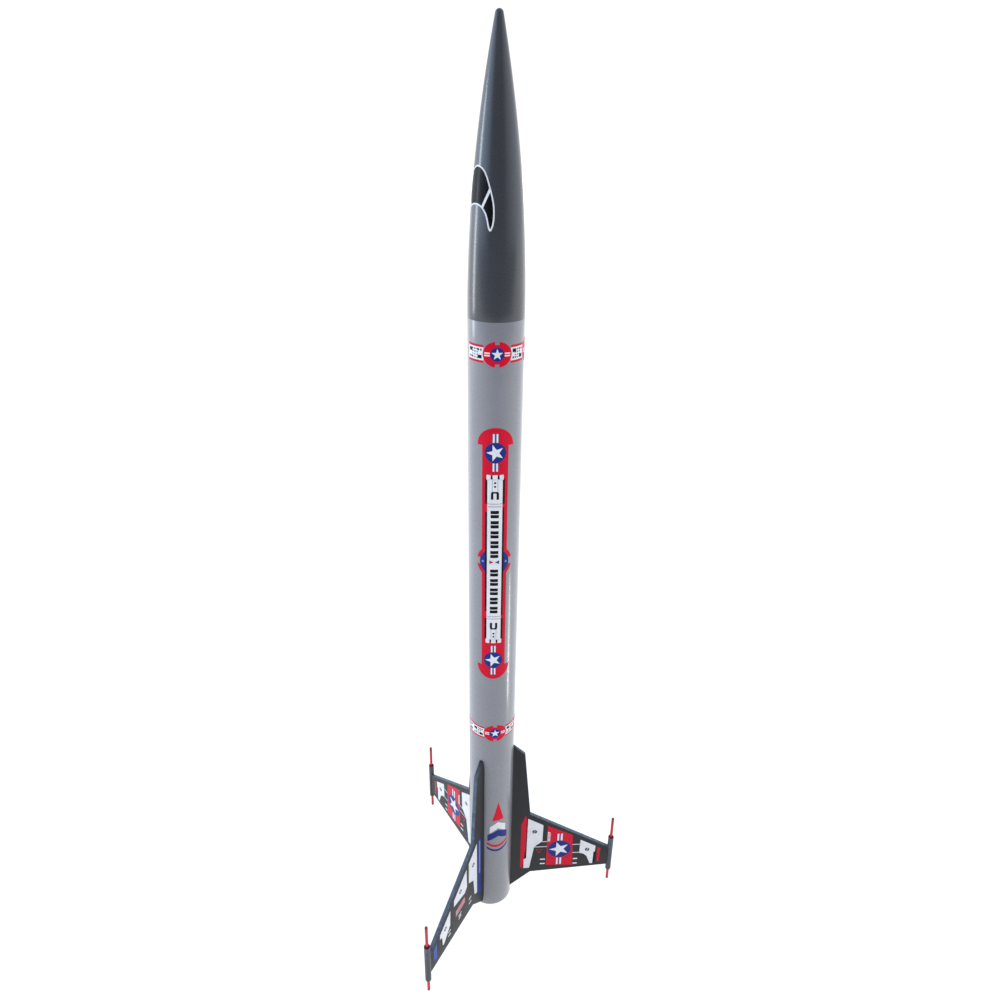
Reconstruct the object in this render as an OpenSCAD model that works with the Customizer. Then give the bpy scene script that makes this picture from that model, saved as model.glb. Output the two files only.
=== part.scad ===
// Three-finned flying model rocket with a slide-off nose cone and an engine mount with a sprung hook.
// Origin: on the body axis, in the plane of the tail end that the rocket stands on. +Z points to the nose.
// Fin A lies along +X; fins B and C follow every 120 degrees.

/* [Body tube] */
// Outside diameter of the body tube
body_od = 41.6; // [34:0.1:60]
// Wall of the body tube
body_wall = 0.55; // [0.4:0.05:1.2]
// Length of the body tube
body_len = 600; // [480:5:760]

/* [Nose cone] */
// Length of the nose cone in front of the body tube
nose_len = 186.5; // [120:0.5:260]
// Radius of the rounded tip
nose_tip_r = 2.75; // [2:0.05:5]
// Wall of the moulded nose cone
nose_wall = 1.2; // [0.8:0.1:1.8]
// Length of the shoulder that slides into the body tube
shoulder_len = 40; // [25:1:60]
// Radial clearance between the shoulder and the body tube
shoulder_gap = 0.05; // [0.03:0.01:0.1]
// Thickness of the disc that closes the shoulder
insert_floor = 2; // [1:0.5:4]
// Height of the glued rim of that closing disc
insert_rim_h = 8; // [4:1:15]
// Wall of that glued rim
insert_rim_wall = 1.4; // [1:0.1:2.5]
// Diameter of the hole in the recovery eyelet
eyelet_hole_d = 3.6; // [2.5:0.1:3.8]
// Thickness of the eyelet
eyelet_t = 3; // [2:0.5:5]
// Width of the eyelet
eyelet_w = 9; // [7:0.5:14]

/* [Fins] */
// Thickness of the fin wood
fin_t = 3.6; // [2:0.1:5]
// Distance from the body tube's surface to the tip pod's axis
fin_span = 103.5; // [80:0.5:130]
// Height of the root's lower end above the tail
root_z0 = 2.6; // [0:0.1:8]
// Height of the root's upper end above the tail
root_z1 = 195.5; // [160:0.5:240]
// Width of the strake at its top corner
strake_top_w = 11.6; // [8:0.1:16]
// Height of the strake's top corner
strake_top_z = 184.5; // [150:0.5:225]
// Width of the strake where the leading edge starts
strake_lead_w = 18.8; // [14:0.1:25]
// Height at which the leading edge starts
strake_lead_z = 105; // [85:0.5:130]
// Width of the fin's foot where the trailing edge starts
foot_w = 20.7; // [14:0.1:28]
// Height at which the trailing edge starts
foot_z = 21.8; // [14:0.1:26]
// Lower end of the fin tip
tip_z0 = 28.3; // [24:0.1:36]
// Upper end of the fin tip
tip_z1 = 52.1; // [44:0.1:60]

/* [Tip pods] */
// Outside diameter of a pod tube
pod_od = 5.6; // [5:0.1:9]
// Wall of a pod tube
pod_wall = 0.35; // [0.3:0.05:0.6]
// Length of a pod tube
pod_len = 46; // [38:0.5:60]
// Height of a pod tube's lower end
pod_z = 20.5; // [14:0.5:24]
// Distance from the pod tube's ends to the sleeve inside it
pod_recess = 6; // [2:0.5:12]
// Diameter of the dowel
dowel_d = 2.8; // [2:0.1:3.6]
// Length of the dowel
dowel_len = 87.5; // [70:0.5:110]
// Height of the dowel's lower end
dowel_z = 5; // [2:0.5:12]
// Size of the rounding at the dowel's ends
dowel_round = 0.5; // [0.2:0.1:0.8]

/* [Engine mount] */
// Bore of the engine tube
motor_id = 24.1; // [23:0.05:26]
// Wall of the engine tube
motor_wall = 0.35; // [0.3:0.05:0.8]
// Height of the engine tube's lower end
motor_z = 3.5; // [3:0.1:8]
// Length of the engine tube
motor_len = 92.9; // [70:0.1:120]
// Thickness of a centering ring
ring_t = 3; // [1.5:0.5:5]
// Height of the aft centering ring's lower face
aft_ring_z = 10; // [8:0.5:30]
// Height of the thrust ring
thrust_h = 4.6; // [3:0.1:8]
// Bore of the thrust ring
thrust_id = 18; // [14:0.5:20]

/* [Engine hook] */
// Direction of the hook around the body
hook_az = 180; // [150:1:210]
// Width of the hook's spring strip
hook_w = 3.2; // [2.5:0.1:5]
// Thickness of the spring strip
hook_t = 0.8; // [0.6:0.1:1]
// Gap between the strip and the engine tube
hook_gap = 0.1; // [0.05:0.05:0.3]
// How far the catch and the tab reach in over the engine tube's bore
hook_reach = 2; // [1:0.1:2.5]
// Height of the hook's lower end
hook_z = 0.5; // [0.3:0.1:1]
// Angle by which the hook flexes outwards
hook_flex = 2.5; // [1:0.5:3]
// Clearance around the strip in notches
notch_gap = 0.3; // [0.2:0.1:0.6]
// Height of the paper band over the hook
sleeve_h = 7; // [4:0.5:12]
// Thickness of that band
sleeve_t = 0.5; // [0.3:0.1:1]
// Gap from the forward centering ring down to that band
sleeve_drop = 3; // [1:0.5:10]

/* [Launch lugs] */
// Bore of a launch lug
lug_id = 5.1; // [3.4:0.1:6.6]
// Wall of a launch lug
lug_wall = 0.35; // [0.3:0.05:0.6]
// Length of a launch lug
lug_len = 40; // [20:1:60]
// Direction of the launch lugs around the body
lug_az = 60; // [40:1:80]
// Height of the aft lug's lower end
lug_aft_z = 60; // [30:5:120]
// Height of the forward lug's lower end
lug_fwd_z = 380; // [250:5:420]

/* [Recovery] */
// Radius of the packed parachute
pack_r = 15; // [12:0.5:17]
// Length of the packed parachute
pack_len = 92; // [60:1:120]
// Gap between the parachute and the eyelet
pack_gap = 3; // [1:0.5:10]
// Rounding of the packed parachute's ends
pack_round = 5; // [2:0.5:8]
// Direction of the shock cord mount around the body
anchor_az = 60; // [0:1:360]
// Height of the shock cord mount's lower end
anchor_z = 500; // [380:5:510]
// Height of the mount's glued base sheet
anchor_h = 32; // [20:1:40]
// Thickness of the mount's base sheet
anchor_base_t = 0.5; // [0.3:0.1:0.8]
// Thickness of the mount's folded pad
anchor_pad_t = 1; // [0.6:0.1:1.6]
// Angle that the mount's base sheet spans
anchor_span = 64; // [40:2:80]
// Border of the base sheet around the folded pad
anchor_border = 3; // [2:0.5:5]
// Diameter of the groove that the shock cord lies in
anchor_groove_d = 2.6; // [2:0.1:3]

/* [Hidden] */
$fn = 96;

body_grey = [0.50, 0.51, 0.54];
nose_grey = [0.24, 0.25, 0.28];
charcoal = [0.20, 0.20, 0.21];
dowel_red = [0.75, 0.10, 0.18];
card_tan = [0.72, 0.58, 0.42];
spring_steel = [0.62, 0.64, 0.66];
film_orange = [0.92, 0.45, 0.12];

AZ_A = 0;
AZ_B = 120;
AZ_C = 240;
EPS = 0.01;

body_r = body_od / 2;
body_ir = body_r - body_wall;

// The nose is a tangent ogive: one circle of radius ogive_rho, closed by a tangent sphere at the tip.
ogive_rho = ((nose_len - nose_tip_r) ^ 2 + body_r ^ 2 - nose_tip_r ^ 2) / (2 * (body_r - nose_tip_r));
ogive_x = body_r - ogive_rho;
ogive_end = acos((ogive_rho - body_r) / (ogive_rho - nose_tip_r));
ogive_steps = 36;
tip_steps = 8;
tip_centre = nose_len - nose_tip_r;
shoulder_r = body_ir - shoulder_gap;
shoulder_ir = shoulder_r - nose_wall;
shoulder_z = body_len - shoulder_len;
// The thick ring inside the shell, where the shoulder steps out to the ogive
step_h = 2.5;

eyelet_h = eyelet_hole_d + 2 * eyelet_t;
eyelet_z = shoulder_z - eyelet_h + eyelet_t;

fin_inset = 2;
pod_axis = body_r + fin_span;
pod_r = pod_od / 2;
pod_ir = pod_r - pod_wall;
dowel_r = dowel_d / 2;

motor_ir = motor_id / 2;
motor_r = motor_ir + motor_wall;
motor_top = motor_z + motor_len;
fwd_ring_z = motor_top - ring_t - 0.2;
sleeve_z = fwd_ring_z - sleeve_drop - sleeve_h;

hook_ir = motor_r + hook_gap;
hook_r = hook_ir + hook_t;
hook_tip_r = motor_ir - hook_reach;
hook_tab_z = motor_top + 0.1;
hook_top = hook_tab_z + hook_t;
hook_pivot_z = hook_tab_z + hook_t / 2;
notch_w = hook_w + 2 * notch_gap;
// Radius that the strip's outside reaches at the aft ring when the hook is flexed
aft_notch_r = hook_r + (hook_pivot_z - aft_ring_z) * tan(hook_flex) + notch_gap;
channel_r = hook_r + (hook_pivot_z - sleeve_z) * tan(hook_flex) + notch_gap;

lug_ir = lug_id / 2;
lug_r = lug_ir + lug_wall;
lug_axis = body_r + lug_r;
lug_saddle_w = 1.6 * lug_r;

pack_top = eyelet_z - pack_gap;
anchor_r = body_ir;

// Points of the nose outline, set in by a wall; the base is at height 0.
function nose_outline(inset) = concat(
    [for (i = [0:ogive_steps])
        let (a = ogive_end * i / ogive_steps)
        [ogive_x + (ogive_rho - inset) * cos(a), (ogive_rho - inset) * sin(a)]],
    [for (i = [1:tip_steps - 1])
        let (a = ogive_end + (90 - ogive_end) * i / tip_steps)
        [(nose_tip_r - inset) * cos(a), tip_centre + (nose_tip_r - inset) * sin(a)]],
    [[0, tip_centre + nose_tip_r - inset]]
);

// A straight tube along Z
module pipe(r_out, r_in, h) {
    difference() {
        cylinder(r = r_out, h = h);
        translate([0, 0, -EPS]) cylinder(r = r_in, h = h + 2 * EPS);
    }
}

// Moulded shell: ogive outside, hollow inside, with the shoulder below it
module nose_cone() {
    color(nose_grey) translate([0, 0, body_len]) difference() {
        rotate_extrude() union() {
            polygon(concat([[0, 0]], nose_outline(0)));
            translate([0, -shoulder_len]) square([shoulder_r, shoulder_len + EPS]);
        }
        rotate_extrude() difference() {
            polygon(concat([[0, 0]], nose_outline(nose_wall)));
            translate([shoulder_ir, -1]) square([body_r, 1 + step_h]);
        }
        translate([0, 0, -shoulder_len - 1]) cylinder(r = shoulder_ir, h = shoulder_len + 1 + EPS);
    }
}

// Glued cup that closes the shoulder, with the eyelet for the recovery line
module nose_insert() {
    color(nose_grey) translate([0, 0, shoulder_z]) {
        difference() {
            cylinder(r = shoulder_ir, h = insert_rim_h);
            translate([0, 0, insert_floor])
                cylinder(r = shoulder_ir - insert_rim_wall, h = insert_rim_h);
        }
        rotate([90, 0, 0]) translate([0, 0, -eyelet_t / 2]) linear_extrude(eyelet_t) difference() {
            union() {
                translate([0, -eyelet_h / 2 + eyelet_t / 2]) circle(d = eyelet_w);
                translate([-eyelet_w / 2, -eyelet_h / 2 + eyelet_t / 2]) square([eyelet_w, eyelet_h / 2]);
            }
            translate([0, -eyelet_h / 2 + eyelet_t / 2]) circle(d = eyelet_hole_d);
            translate([-eyelet_w, 1]) square([2 * eyelet_w, eyelet_h]);
        }
    }
}

module body_tube() {
    color(body_grey) pipe(body_r, body_ir, body_len);
}

module motor_tube() {
    color(card_tan) translate([0, 0, motor_z]) pipe(motor_r, motor_ir, motor_len);
}

// Card ring between the engine tube and the body tube, notched for the hook out to notch_r
module centering_ring(z, notch_r) {
    color(card_tan) translate([0, 0, z]) difference() {
        pipe(body_ir, motor_r, ring_t);
        rotate([0, 0, hook_az]) translate([0, -notch_w / 2, -1]) cube([notch_r, notch_w, ring_t + 2]);
    }
}

module centering_ring_forward() {
    centering_ring(fwd_ring_z, hook_r + 2 * notch_gap);
}

module centering_ring_aft() {
    centering_ring(aft_ring_z, aft_notch_r);
}

// Engine block on the forward end of the engine tube, notched below for the hook's tab
module thrust_ring() {
    color(card_tan) translate([0, 0, motor_top]) difference() {
        pipe(motor_r, thrust_id / 2, thrust_h);
        rotate([0, 0, hook_az]) translate([0, -notch_w / 2, -1])
            cube([body_r, notch_w, 1 + hook_top - motor_top + notch_gap]);
    }
}

// Spring strip along the engine tube: a tab over its forward end and a catch under the engine
module engine_hook() {
    bend_r = 2 * hook_t;
    color(spring_steel) rotate([0, 0, hook_az]) rotate([90, 0, 0])
        translate([0, 0, -hook_w / 2]) linear_extrude(hook_w) difference() {
            translate([hook_tip_r, hook_z]) square([hook_r - hook_tip_r, hook_top - hook_z]);
            translate([hook_tip_r - 1, hook_z + hook_t])
                square([hook_ir - hook_tip_r + 1, hook_tab_z - hook_z - hook_t]);
            for (end = [[hook_z, 1], [hook_top, -1]])
                translate([hook_r, end[0]]) mirror([0, end[1] < 0 ? 1 : 0]) difference() {
                    translate([-bend_r, -1]) square([bend_r + 1, bend_r + 1]);
                    translate([-bend_r, bend_r]) circle(r = bend_r);
                }
        }
}

// Paper band that holds the hook against the engine tube
module hook_sleeve() {
    color(card_tan) translate([0, 0, sleeve_z]) rotate([0, 0, hook_az]) linear_extrude(sleeve_h) difference() {
        union() {
            circle(r = motor_r + sleeve_t);
            translate([0, -notch_w / 2 - sleeve_t]) square([channel_r + sleeve_t, notch_w + 2 * sleeve_t]);
        }
        circle(r = motor_r);
        translate([0, -notch_w / 2]) square([channel_r, notch_w]);
    }
}

// Outline of a fin: distance from the body axis against height
function fin_outline() = [
    [body_r - fin_inset, root_z0],
    [body_r, root_z0],
    [body_r + foot_w, foot_z],
    [pod_axis, tip_z0],
    [pod_axis, tip_z1],
    [body_r + strake_lead_w, strake_lead_z],
    [body_r + strake_top_w, strake_top_z],
    [body_r, root_z1],
    [body_r - fin_inset, root_z1]
];

// Flat wood fin with its strake, hollowed at the root and the tip for the tubes it is glued to
module fin(az) {
    color(charcoal) rotate([0, 0, az]) difference() {
        rotate([90, 0, 0]) translate([0, 0, -fin_t / 2]) linear_extrude(fin_t) polygon(fin_outline());
        translate([0, 0, -1]) cylinder(r = body_r, h = root_z1 + 2);
        translate([pod_axis, 0, pod_z]) cylinder(r = pod_r, h = pod_len);
    }
}

module fin_a() { fin(AZ_A); }
module fin_b() { fin(AZ_B); }
module fin_c() { fin(AZ_C); }

module pod_tube(az) {
    color(charcoal) rotate([0, 0, az]) translate([pod_axis, 0, pod_z]) pipe(pod_r, pod_ir, pod_len);
}

module pod_tube_a() { pod_tube(AZ_A); }
module pod_tube_b() { pod_tube(AZ_B); }
module pod_tube_c() { pod_tube(AZ_C); }

// Inner sleeve that centres the dowel in the pod tube
module pod_sleeve(az) {
    color(card_tan) rotate([0, 0, az]) translate([pod_axis, 0, pod_z + pod_recess])
        pipe(pod_ir, dowel_r, pod_len - 2 * pod_recess);
}

module pod_sleeve_a() { pod_sleeve(AZ_A); }
module pod_sleeve_b() { pod_sleeve(AZ_B); }
module pod_sleeve_c() { pod_sleeve(AZ_C); }

module pod_dowel(az) {
    color(dowel_red) rotate([0, 0, az]) translate([pod_axis, 0, dowel_z]) rotate_extrude() polygon([
        [0, 0],
        [dowel_r - dowel_round, 0],
        [dowel_r, dowel_round],
        [dowel_r, dowel_len - dowel_round],
        [dowel_r - dowel_round, dowel_len],
        [0, dowel_len]
    ]);
}

module pod_dowel_a() { pod_dowel(AZ_A); }
module pod_dowel_b() { pod_dowel(AZ_B); }
module pod_dowel_c() { pod_dowel(AZ_C); }

// Launch rod tube with the glue saddle that joins it to the body
module launch_lug(z) {
    color(body_grey) rotate([0, 0, lug_az]) translate([0, 0, z]) linear_extrude(lug_len) difference() {
        union() {
            translate([lug_axis, 0]) circle(r = lug_r);
            translate([body_r - 1, -lug_saddle_w / 2]) square([lug_r + 1, lug_saddle_w]);
        }
        translate([lug_axis, 0]) circle(r = lug_ir);
        circle(r = body_r);
    }
}

module launch_lug_forward() { launch_lug(lug_fwd_z); }
module launch_lug_aft() { launch_lug(lug_aft_z); }

// A sheet curved to the inside of the body tube, centred on the X direction
module curved_sheet(r_out, t, span, h) {
    rotate([0, 0, -span / 2]) rotate_extrude(angle = span) translate([r_out - t, 0]) square([t, h]);
}

// Folded card anchor for the shock cord: a base sheet and a thick folded pad with the cord's groove
module shock_cord_mount() {
    pad_r = anchor_r - anchor_base_t / 2;
    pad_ir = anchor_r - anchor_base_t - anchor_pad_t;
    pad_span = anchor_span - 2 * anchor_border * 360 / (2 * PI * anchor_r);
    color(card_tan) rotate([0, 0, anchor_az]) translate([0, 0, anchor_z]) difference() {
        union() {
            curved_sheet(anchor_r, anchor_base_t, anchor_span, anchor_h);
            translate([0, 0, anchor_border])
                curved_sheet(pad_r, pad_r - pad_ir, pad_span, anchor_h - 2 * anchor_border);
        }
        translate([pad_ir, 0, anchor_h / 2]) cylinder(d = anchor_groove_d, h = anchor_h);
    }
}

// Parachute canopy rolled and folded into a bundle
module parachute_pack() {
    color(film_orange) translate([0, 0, pack_top - pack_len]) rotate_extrude() difference() {
        square([pack_r, pack_len]);
        for (end = [[0, 1], [pack_len, -1]])
            translate([pack_r, end[0]]) mirror([0, end[1] < 0 ? 1 : 0]) difference() {
                translate([-pack_round, -1]) square([pack_round + 1, pack_round + 1]);
                translate([-pack_round, pack_round]) circle(r = pack_round);
            }
    }
}

nose_cone();
nose_insert();
body_tube();
motor_tube();
centering_ring_forward();
centering_ring_aft();
thrust_ring();
engine_hook();
hook_sleeve();
fin_a();
fin_b();
fin_c();
pod_tube_a();
pod_tube_b();
pod_tube_c();
pod_sleeve_a();
pod_sleeve_b();
pod_sleeve_c();
pod_dowel_a();
pod_dowel_b();
pod_dowel_c();
launch_lug_forward();
launch_lug_aft();
shock_cord_mount();
parachute_pack();
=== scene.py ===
"""Looks of a three-finned model rocket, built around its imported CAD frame.

Each sub-assembly is a class that makes its own meshes, dresses them and hangs them on the frame's bodies.
Lengths in the dataclasses are millimetres where a name ends in _mm, and metres everywhere else.
"""
import logging
import math
from dataclasses import dataclass, field
from enum import Enum
from typing import Callable, Iterable, Optional, Sequence

import bmesh
import bpy
from mathutils import Matrix, Vector


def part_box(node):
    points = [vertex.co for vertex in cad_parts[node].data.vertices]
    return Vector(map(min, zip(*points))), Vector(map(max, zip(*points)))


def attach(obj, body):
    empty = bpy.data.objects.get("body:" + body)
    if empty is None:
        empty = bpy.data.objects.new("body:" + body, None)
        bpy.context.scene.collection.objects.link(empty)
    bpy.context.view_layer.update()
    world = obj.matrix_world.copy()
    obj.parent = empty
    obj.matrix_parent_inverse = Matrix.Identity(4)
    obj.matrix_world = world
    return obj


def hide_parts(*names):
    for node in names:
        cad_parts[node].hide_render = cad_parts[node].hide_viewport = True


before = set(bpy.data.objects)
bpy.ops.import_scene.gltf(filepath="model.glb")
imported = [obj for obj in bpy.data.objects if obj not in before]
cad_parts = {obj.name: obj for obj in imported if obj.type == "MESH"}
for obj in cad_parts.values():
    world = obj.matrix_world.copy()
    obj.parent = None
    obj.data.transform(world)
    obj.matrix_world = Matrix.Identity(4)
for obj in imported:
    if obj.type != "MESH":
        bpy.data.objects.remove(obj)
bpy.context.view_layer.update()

MM = 0.001
TAU = 2.0 * math.pi
QUARTER = TAU / 4.0
SEED = 11

Point2 = tuple[float, float]
Colour = tuple[float, float, float, float]

log = logging.getLogger("rocket")


def linear(red: int, green: int, blue: int) -> Colour:
    """A display colour as the linear colour that shaders take.

    Args:
        red: Display red, 0 to 255.
        green: Display green, 0 to 255.
        blue: Display blue, 0 to 255.

    Returns:
        The linear colour with full alpha.
    """
    parts = []
    for value in (red, green, blue):
        share = value / 255.0
        parts.append(share / 12.92 if share <= 0.04045 else ((share + 0.055) / 1.055) ** 2.4)
    return (parts[0], parts[1], parts[2], 1.0)


# ---------------------------------------------------------------- outlines

def fillet(points: Sequence[Point2], radius: float, closed: bool = True, steps: int = 4) -> list[Point2]:
    """Rounds the corners of an outline.

    Args:
        points: Corners of the outline, in order.
        radius: Radius of the rounding, cut down where a side is too short for it.
        closed: Whether the last corner joins the first.
        steps: Segments in each rounding.

    Returns:
        The outline with an arc in place of each corner.
    """
    count = len(points)
    rounded: list[Point2] = []
    for i, corner in enumerate(points):
        if not closed and i in (0, count - 1):
            rounded.append(corner)
            continue
        here = Vector(corner)
        back = Vector(points[i - 1]) - here
        ahead = Vector(points[(i + 1) % count]) - here
        turn = back.angle(ahead)
        if turn > math.pi - 0.02:
            rounded.append(corner)
            continue
        reach = min(radius / math.tan(turn / 2.0), 0.45 * back.length, 0.45 * ahead.length)
        start = here + back.normalized() * reach
        end = here + ahead.normalized() * reach
        for k in range(steps + 1):
            t = k / steps
            p = start * (1 - t) ** 2 + here * 2 * t * (1 - t) + end * t * t
            rounded.append((p.x, p.y))
    return rounded


def inset(points: Sequence[Point2], depth: float) -> list[Point2]:
    """Moves a counter-clockwise closed outline inwards.

    Args:
        points: The outline's points.
        depth: Distance that every side moves in.

    Returns:
        The smaller outline, with as many points.
    """
    count = len(points)
    moved: list[Point2] = []
    for i in range(count):
        here = Vector(points[i])
        before = (here - Vector(points[i - 1])).normalized()
        after = (Vector(points[(i + 1) % count]) - here).normalized()
        normal = Vector((-before.y - after.y, before.x + after.x))
        if normal.length < 1e-9:
            normal = Vector((-before.y, before.x))
        normal.normalize()
        miter = max(0.35, normal.dot(Vector((-before.y, before.x))))
        p = here + normal * (depth / miter)
        moved.append((p.x, p.y))
    return moved


def reach(point: Point2, outline: Sequence[Point2]) -> float:
    """Distance from a point to the nearest side of a closed outline."""
    p = Vector(point)
    nearest = math.inf
    for a, b in zip(outline, list(outline[1:]) + [outline[0]]):
        start = Vector(a)
        side = Vector(b) - start
        share = max(0.0, min(1.0, (p - start).dot(side) / max(side.length_squared, 1e-12)))
        nearest = min(nearest, (p - start - side * share).length)
    return nearest


def frame_inside(points: Sequence[Point2], depth: float) -> list[Point2]:
    """An inset outline without the loops that narrow ends would make in it."""
    return [p for p in inset(points, depth) if reach(p, points) > 0.97 * depth]


def smooth_loop(points: Sequence[Point2], steps: int = 5) -> list[Point2]:
    """A closed Catmull-Rom curve through the points.

    Args:
        points: Points that the curve passes through.
        steps: Segments between two points.

    Returns:
        The curve as a closed outline.
    """
    count = len(points)
    curve: list[Point2] = []
    for i in range(count):
        a, b, c, d = (Vector(points[(i + k) % count]) for k in (-1, 0, 1, 2))
        for k in range(steps):
            t = k / steps
            p = 0.5 * (2 * b + (c - a) * t + (2 * a - 5 * b + 4 * c - d) * t * t
                       + (3 * b - a - 3 * c + d) * t ** 3)
            curve.append((p.x, p.y))
    return curve


def disc(centre: Point2, radius: float, steps: int = 40) -> list[Point2]:
    """A circle as a closed outline."""
    return [
        (centre[0] + radius * math.cos(TAU * k / steps), centre[1] + radius * math.sin(TAU * k / steps))
        for k in range(steps)
    ]


def half_disc(centre: Point2, radius: float, up: bool, steps: int = 28) -> list[Point2]:
    """The upper or the lower half of a circle as a closed outline."""
    start = 0.0 if up else math.pi
    return [
        (centre[0] + radius * math.cos(start + math.pi * k / steps),
         centre[1] + radius * math.sin(start + math.pi * k / steps))
        for k in range(steps + 1)
    ]


def star(centre: Point2, radius: float, heading: float, points: int = 5) -> list[Point2]:
    """A plain pointed star as a closed outline.

    Args:
        centre: Middle of the star.
        radius: Distance from the middle to a point.
        heading: Direction of the first point, in degrees.
        points: Number of points.

    Returns:
        The star's outline.
    """
    inner = 0.40 * radius
    outline: list[Point2] = []
    for k in range(2 * points):
        reach = radius if k % 2 == 0 else inner
        angle = math.radians(heading) + math.pi * k / points
        outline.append((centre[0] + reach * math.cos(angle), centre[1] + reach * math.sin(angle)))
    return outline


def rect(x0: float, y0: float, x1: float, y1: float) -> list[Point2]:
    """An upright rectangle as a closed outline."""
    return [(x0, y0), (x1, y0), (x1, y1), (x0, y1)]


# ---------------------------------------------------------------- shader building

class Graph:
    """A node tree under construction."""

    def __init__(self, tree: bpy.types.NodeTree) -> None:
        """Starts on a tree."""
        self.tree = tree

    def node(self, kind: str, inputs: Optional[dict] = None, **settings: object) -> bpy.types.Node:
        """Adds a node.

        Args:
            kind: The node's type.
            inputs: Values or output sockets for its inputs, by name or number.
            settings: The node's own properties.

        Returns:
            The new node.
        """
        made = self.tree.nodes.new(kind)
        for key, value in settings.items():
            setattr(made, key, value)
        for key, value in (inputs or {}).items():
            if isinstance(value, bpy.types.NodeSocket):
                self.tree.links.new(value, made.inputs[key])
            else:
                made.inputs[key].default_value = value
        return made

    def math(self, operation: str, a: object, b: object = 0.0) -> bpy.types.NodeSocket:
        """The result of a math node on two values."""
        return self.node("ShaderNodeMath", {0: a, 1: b}, operation=operation).outputs[0]

    def spread(self, value: bpy.types.NodeSocket, low: float, high: float,
               start: float = 0.3, end: float = 0.7) -> bpy.types.NodeSocket:
        """Maps the stretch start to end of a value onto low to high."""
        ranged = self.node("ShaderNodeMapRange", {
            "Value": value, "From Min": start, "From Max": end, "To Min": low, "To Max": high,
        })
        return ranged.outputs[0]

    def blend(self, share: object, first: object, second: object) -> bpy.types.NodeSocket:
        """Mixes two colours."""
        return self.node("ShaderNodeMix", {0: share, 6: first, 7: second}, data_type="RGBA").outputs[2]


class Shader(Graph):
    """A node material under construction, around one Principled BSDF."""

    def __init__(self, name: str, **constants: object) -> None:
        """Starts the material.

        Args:
            name: Name of the material.
            constants: Values set straight on the shader's own sockets, with _ for a space.
        """
        self.material = bpy.data.materials.new(name)
        self.material.use_nodes = True
        super().__init__(self.material.node_tree)
        self.surface = self.tree.nodes["Principled BSDF"]
        for key, value in constants.items():
            self.surface.inputs[key.replace("_", " ")].default_value = value
        place = self.tree.nodes.new("ShaderNodeTexCoord")
        self.place = place.outputs["Object"]

    def feed(self, socket: str, value: bpy.types.NodeSocket) -> None:
        """Links a value into the shader's socket of that name."""
        self.tree.links.new(value, self.surface.inputs[socket])

    def noise(self, scale: float, detail: float = 3.0, stretch: Sequence[float] = (1, 1, 1)) -> bpy.types.NodeSocket:
        """Noise on object coordinates.

        Args:
            scale: Features per metre.
            detail: Octaves of finer noise.
            stretch: How much closer the features lie along each axis.

        Returns:
            The noise, 0 to 1.
        """
        spread = self.node("ShaderNodeMapping", {"Vector": self.place, "Scale": stretch})
        texture = self.node("ShaderNodeTexNoise", {"Vector": spread.outputs[0], "Scale": scale, "Detail": detail})
        return texture.outputs[0]

    def bump(self, height: bpy.types.NodeSocket, depth: float,
             under: Optional[bpy.types.NodeSocket] = None) -> bpy.types.NodeSocket:
        """A bump of the given depth in metres, over another bump if there is one."""
        inputs: dict = {"Height": height, "Distance": depth, "Strength": 1.0}
        if under is not None:
            inputs["Normal"] = under
        return self.node("ShaderNodeBump", inputs).outputs[0]

    def winding(self, pitch: float, width: float) -> bpy.types.NodeSocket:
        """The seam of a spiral-wound paper tube around the Z axis.

        Args:
            pitch: Distance along the tube between two turns, in metres.
            width: Share of the pitch that the seam takes.

        Returns:
            1 on the seam and 0 elsewhere.
        """
        parts = self.node("ShaderNodeSeparateXYZ", {0: self.place})
        angle = self.math("ARCTAN2", parts.outputs[1], parts.outputs[0])
        turn = self.math("DIVIDE", angle, TAU)
        along = self.math("DIVIDE", parts.outputs[2], pitch)
        phase = self.math("FRACT", self.math("ADD", turn, along))
        return self.spread(phase, 1.0, 0.0, 0.0, width)


@dataclass(frozen=True)
class Paint:
    """Sprayed paint over a paper, plastic or wood base."""

    name: str
    colour: Colour
    thin: Colour
    roughness: float
    coat: float = 0.0
    gloss: float = 0.5
    peel: float = 0.0000006
    grain: float = 0.0
    winding: float = 0.0
    edge: Optional[Colour] = None

    def material(self) -> bpy.types.Material:
        """Builds the paint: mottled colour, uneven gloss, orange peel, what shows of the base under it, and a tint
        along marked edges, which on fins and pod rims is a painted highlight.
        """
        shader = Shader(
            self.name, Coat_Weight=self.coat, Coat_Roughness=0.14, Coat_IOR=1.5, Specular_IOR_Level=self.gloss,
        )
        mottle = shader.noise(38.0, 4.0)
        colour = shader.blend(shader.spread(mottle, 0.0, 1.0), self.colour, self.thin)
        fine = shader.noise(900.0, 2.0)
        roughness = shader.spread(fine, self.roughness - 0.04, self.roughness + 0.05)
        normal = shader.bump(shader.noise(520.0, 2.0), self.peel)
        if self.grain > 0.0:
            streaks = shader.noise(60.0, 6.0, (14.0, 14.0, 0.6))
            colour = shader.blend(shader.spread(streaks, 0.0, 0.55), colour, self.thin)
            normal = shader.bump(streaks, self.grain, normal)
        if self.winding > 0.0:
            normal = shader.bump(shader.winding(0.074, 0.012), -self.winding, normal)
        # Edge tint: a painted highlight, lighter and bluish, where fin edges and pod rims catch the light; on the
        # dowels it darkens the rounded ends.
        if self.edge is not None:
            edge_tint_mask = shader.node("ShaderNodeAttribute", attribute_name="edge").outputs["Fac"]
            patchy = shader.math("MULTIPLY", edge_tint_mask, shader.spread(shader.noise(240.0, 4.0), 0.5, 1.0))
            colour = shader.blend(patchy, colour, self.edge)
        shader.feed("Base Color", colour)
        shader.feed("Roughness", roughness)
        shader.feed("Normal", normal)
        return shader.material


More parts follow.
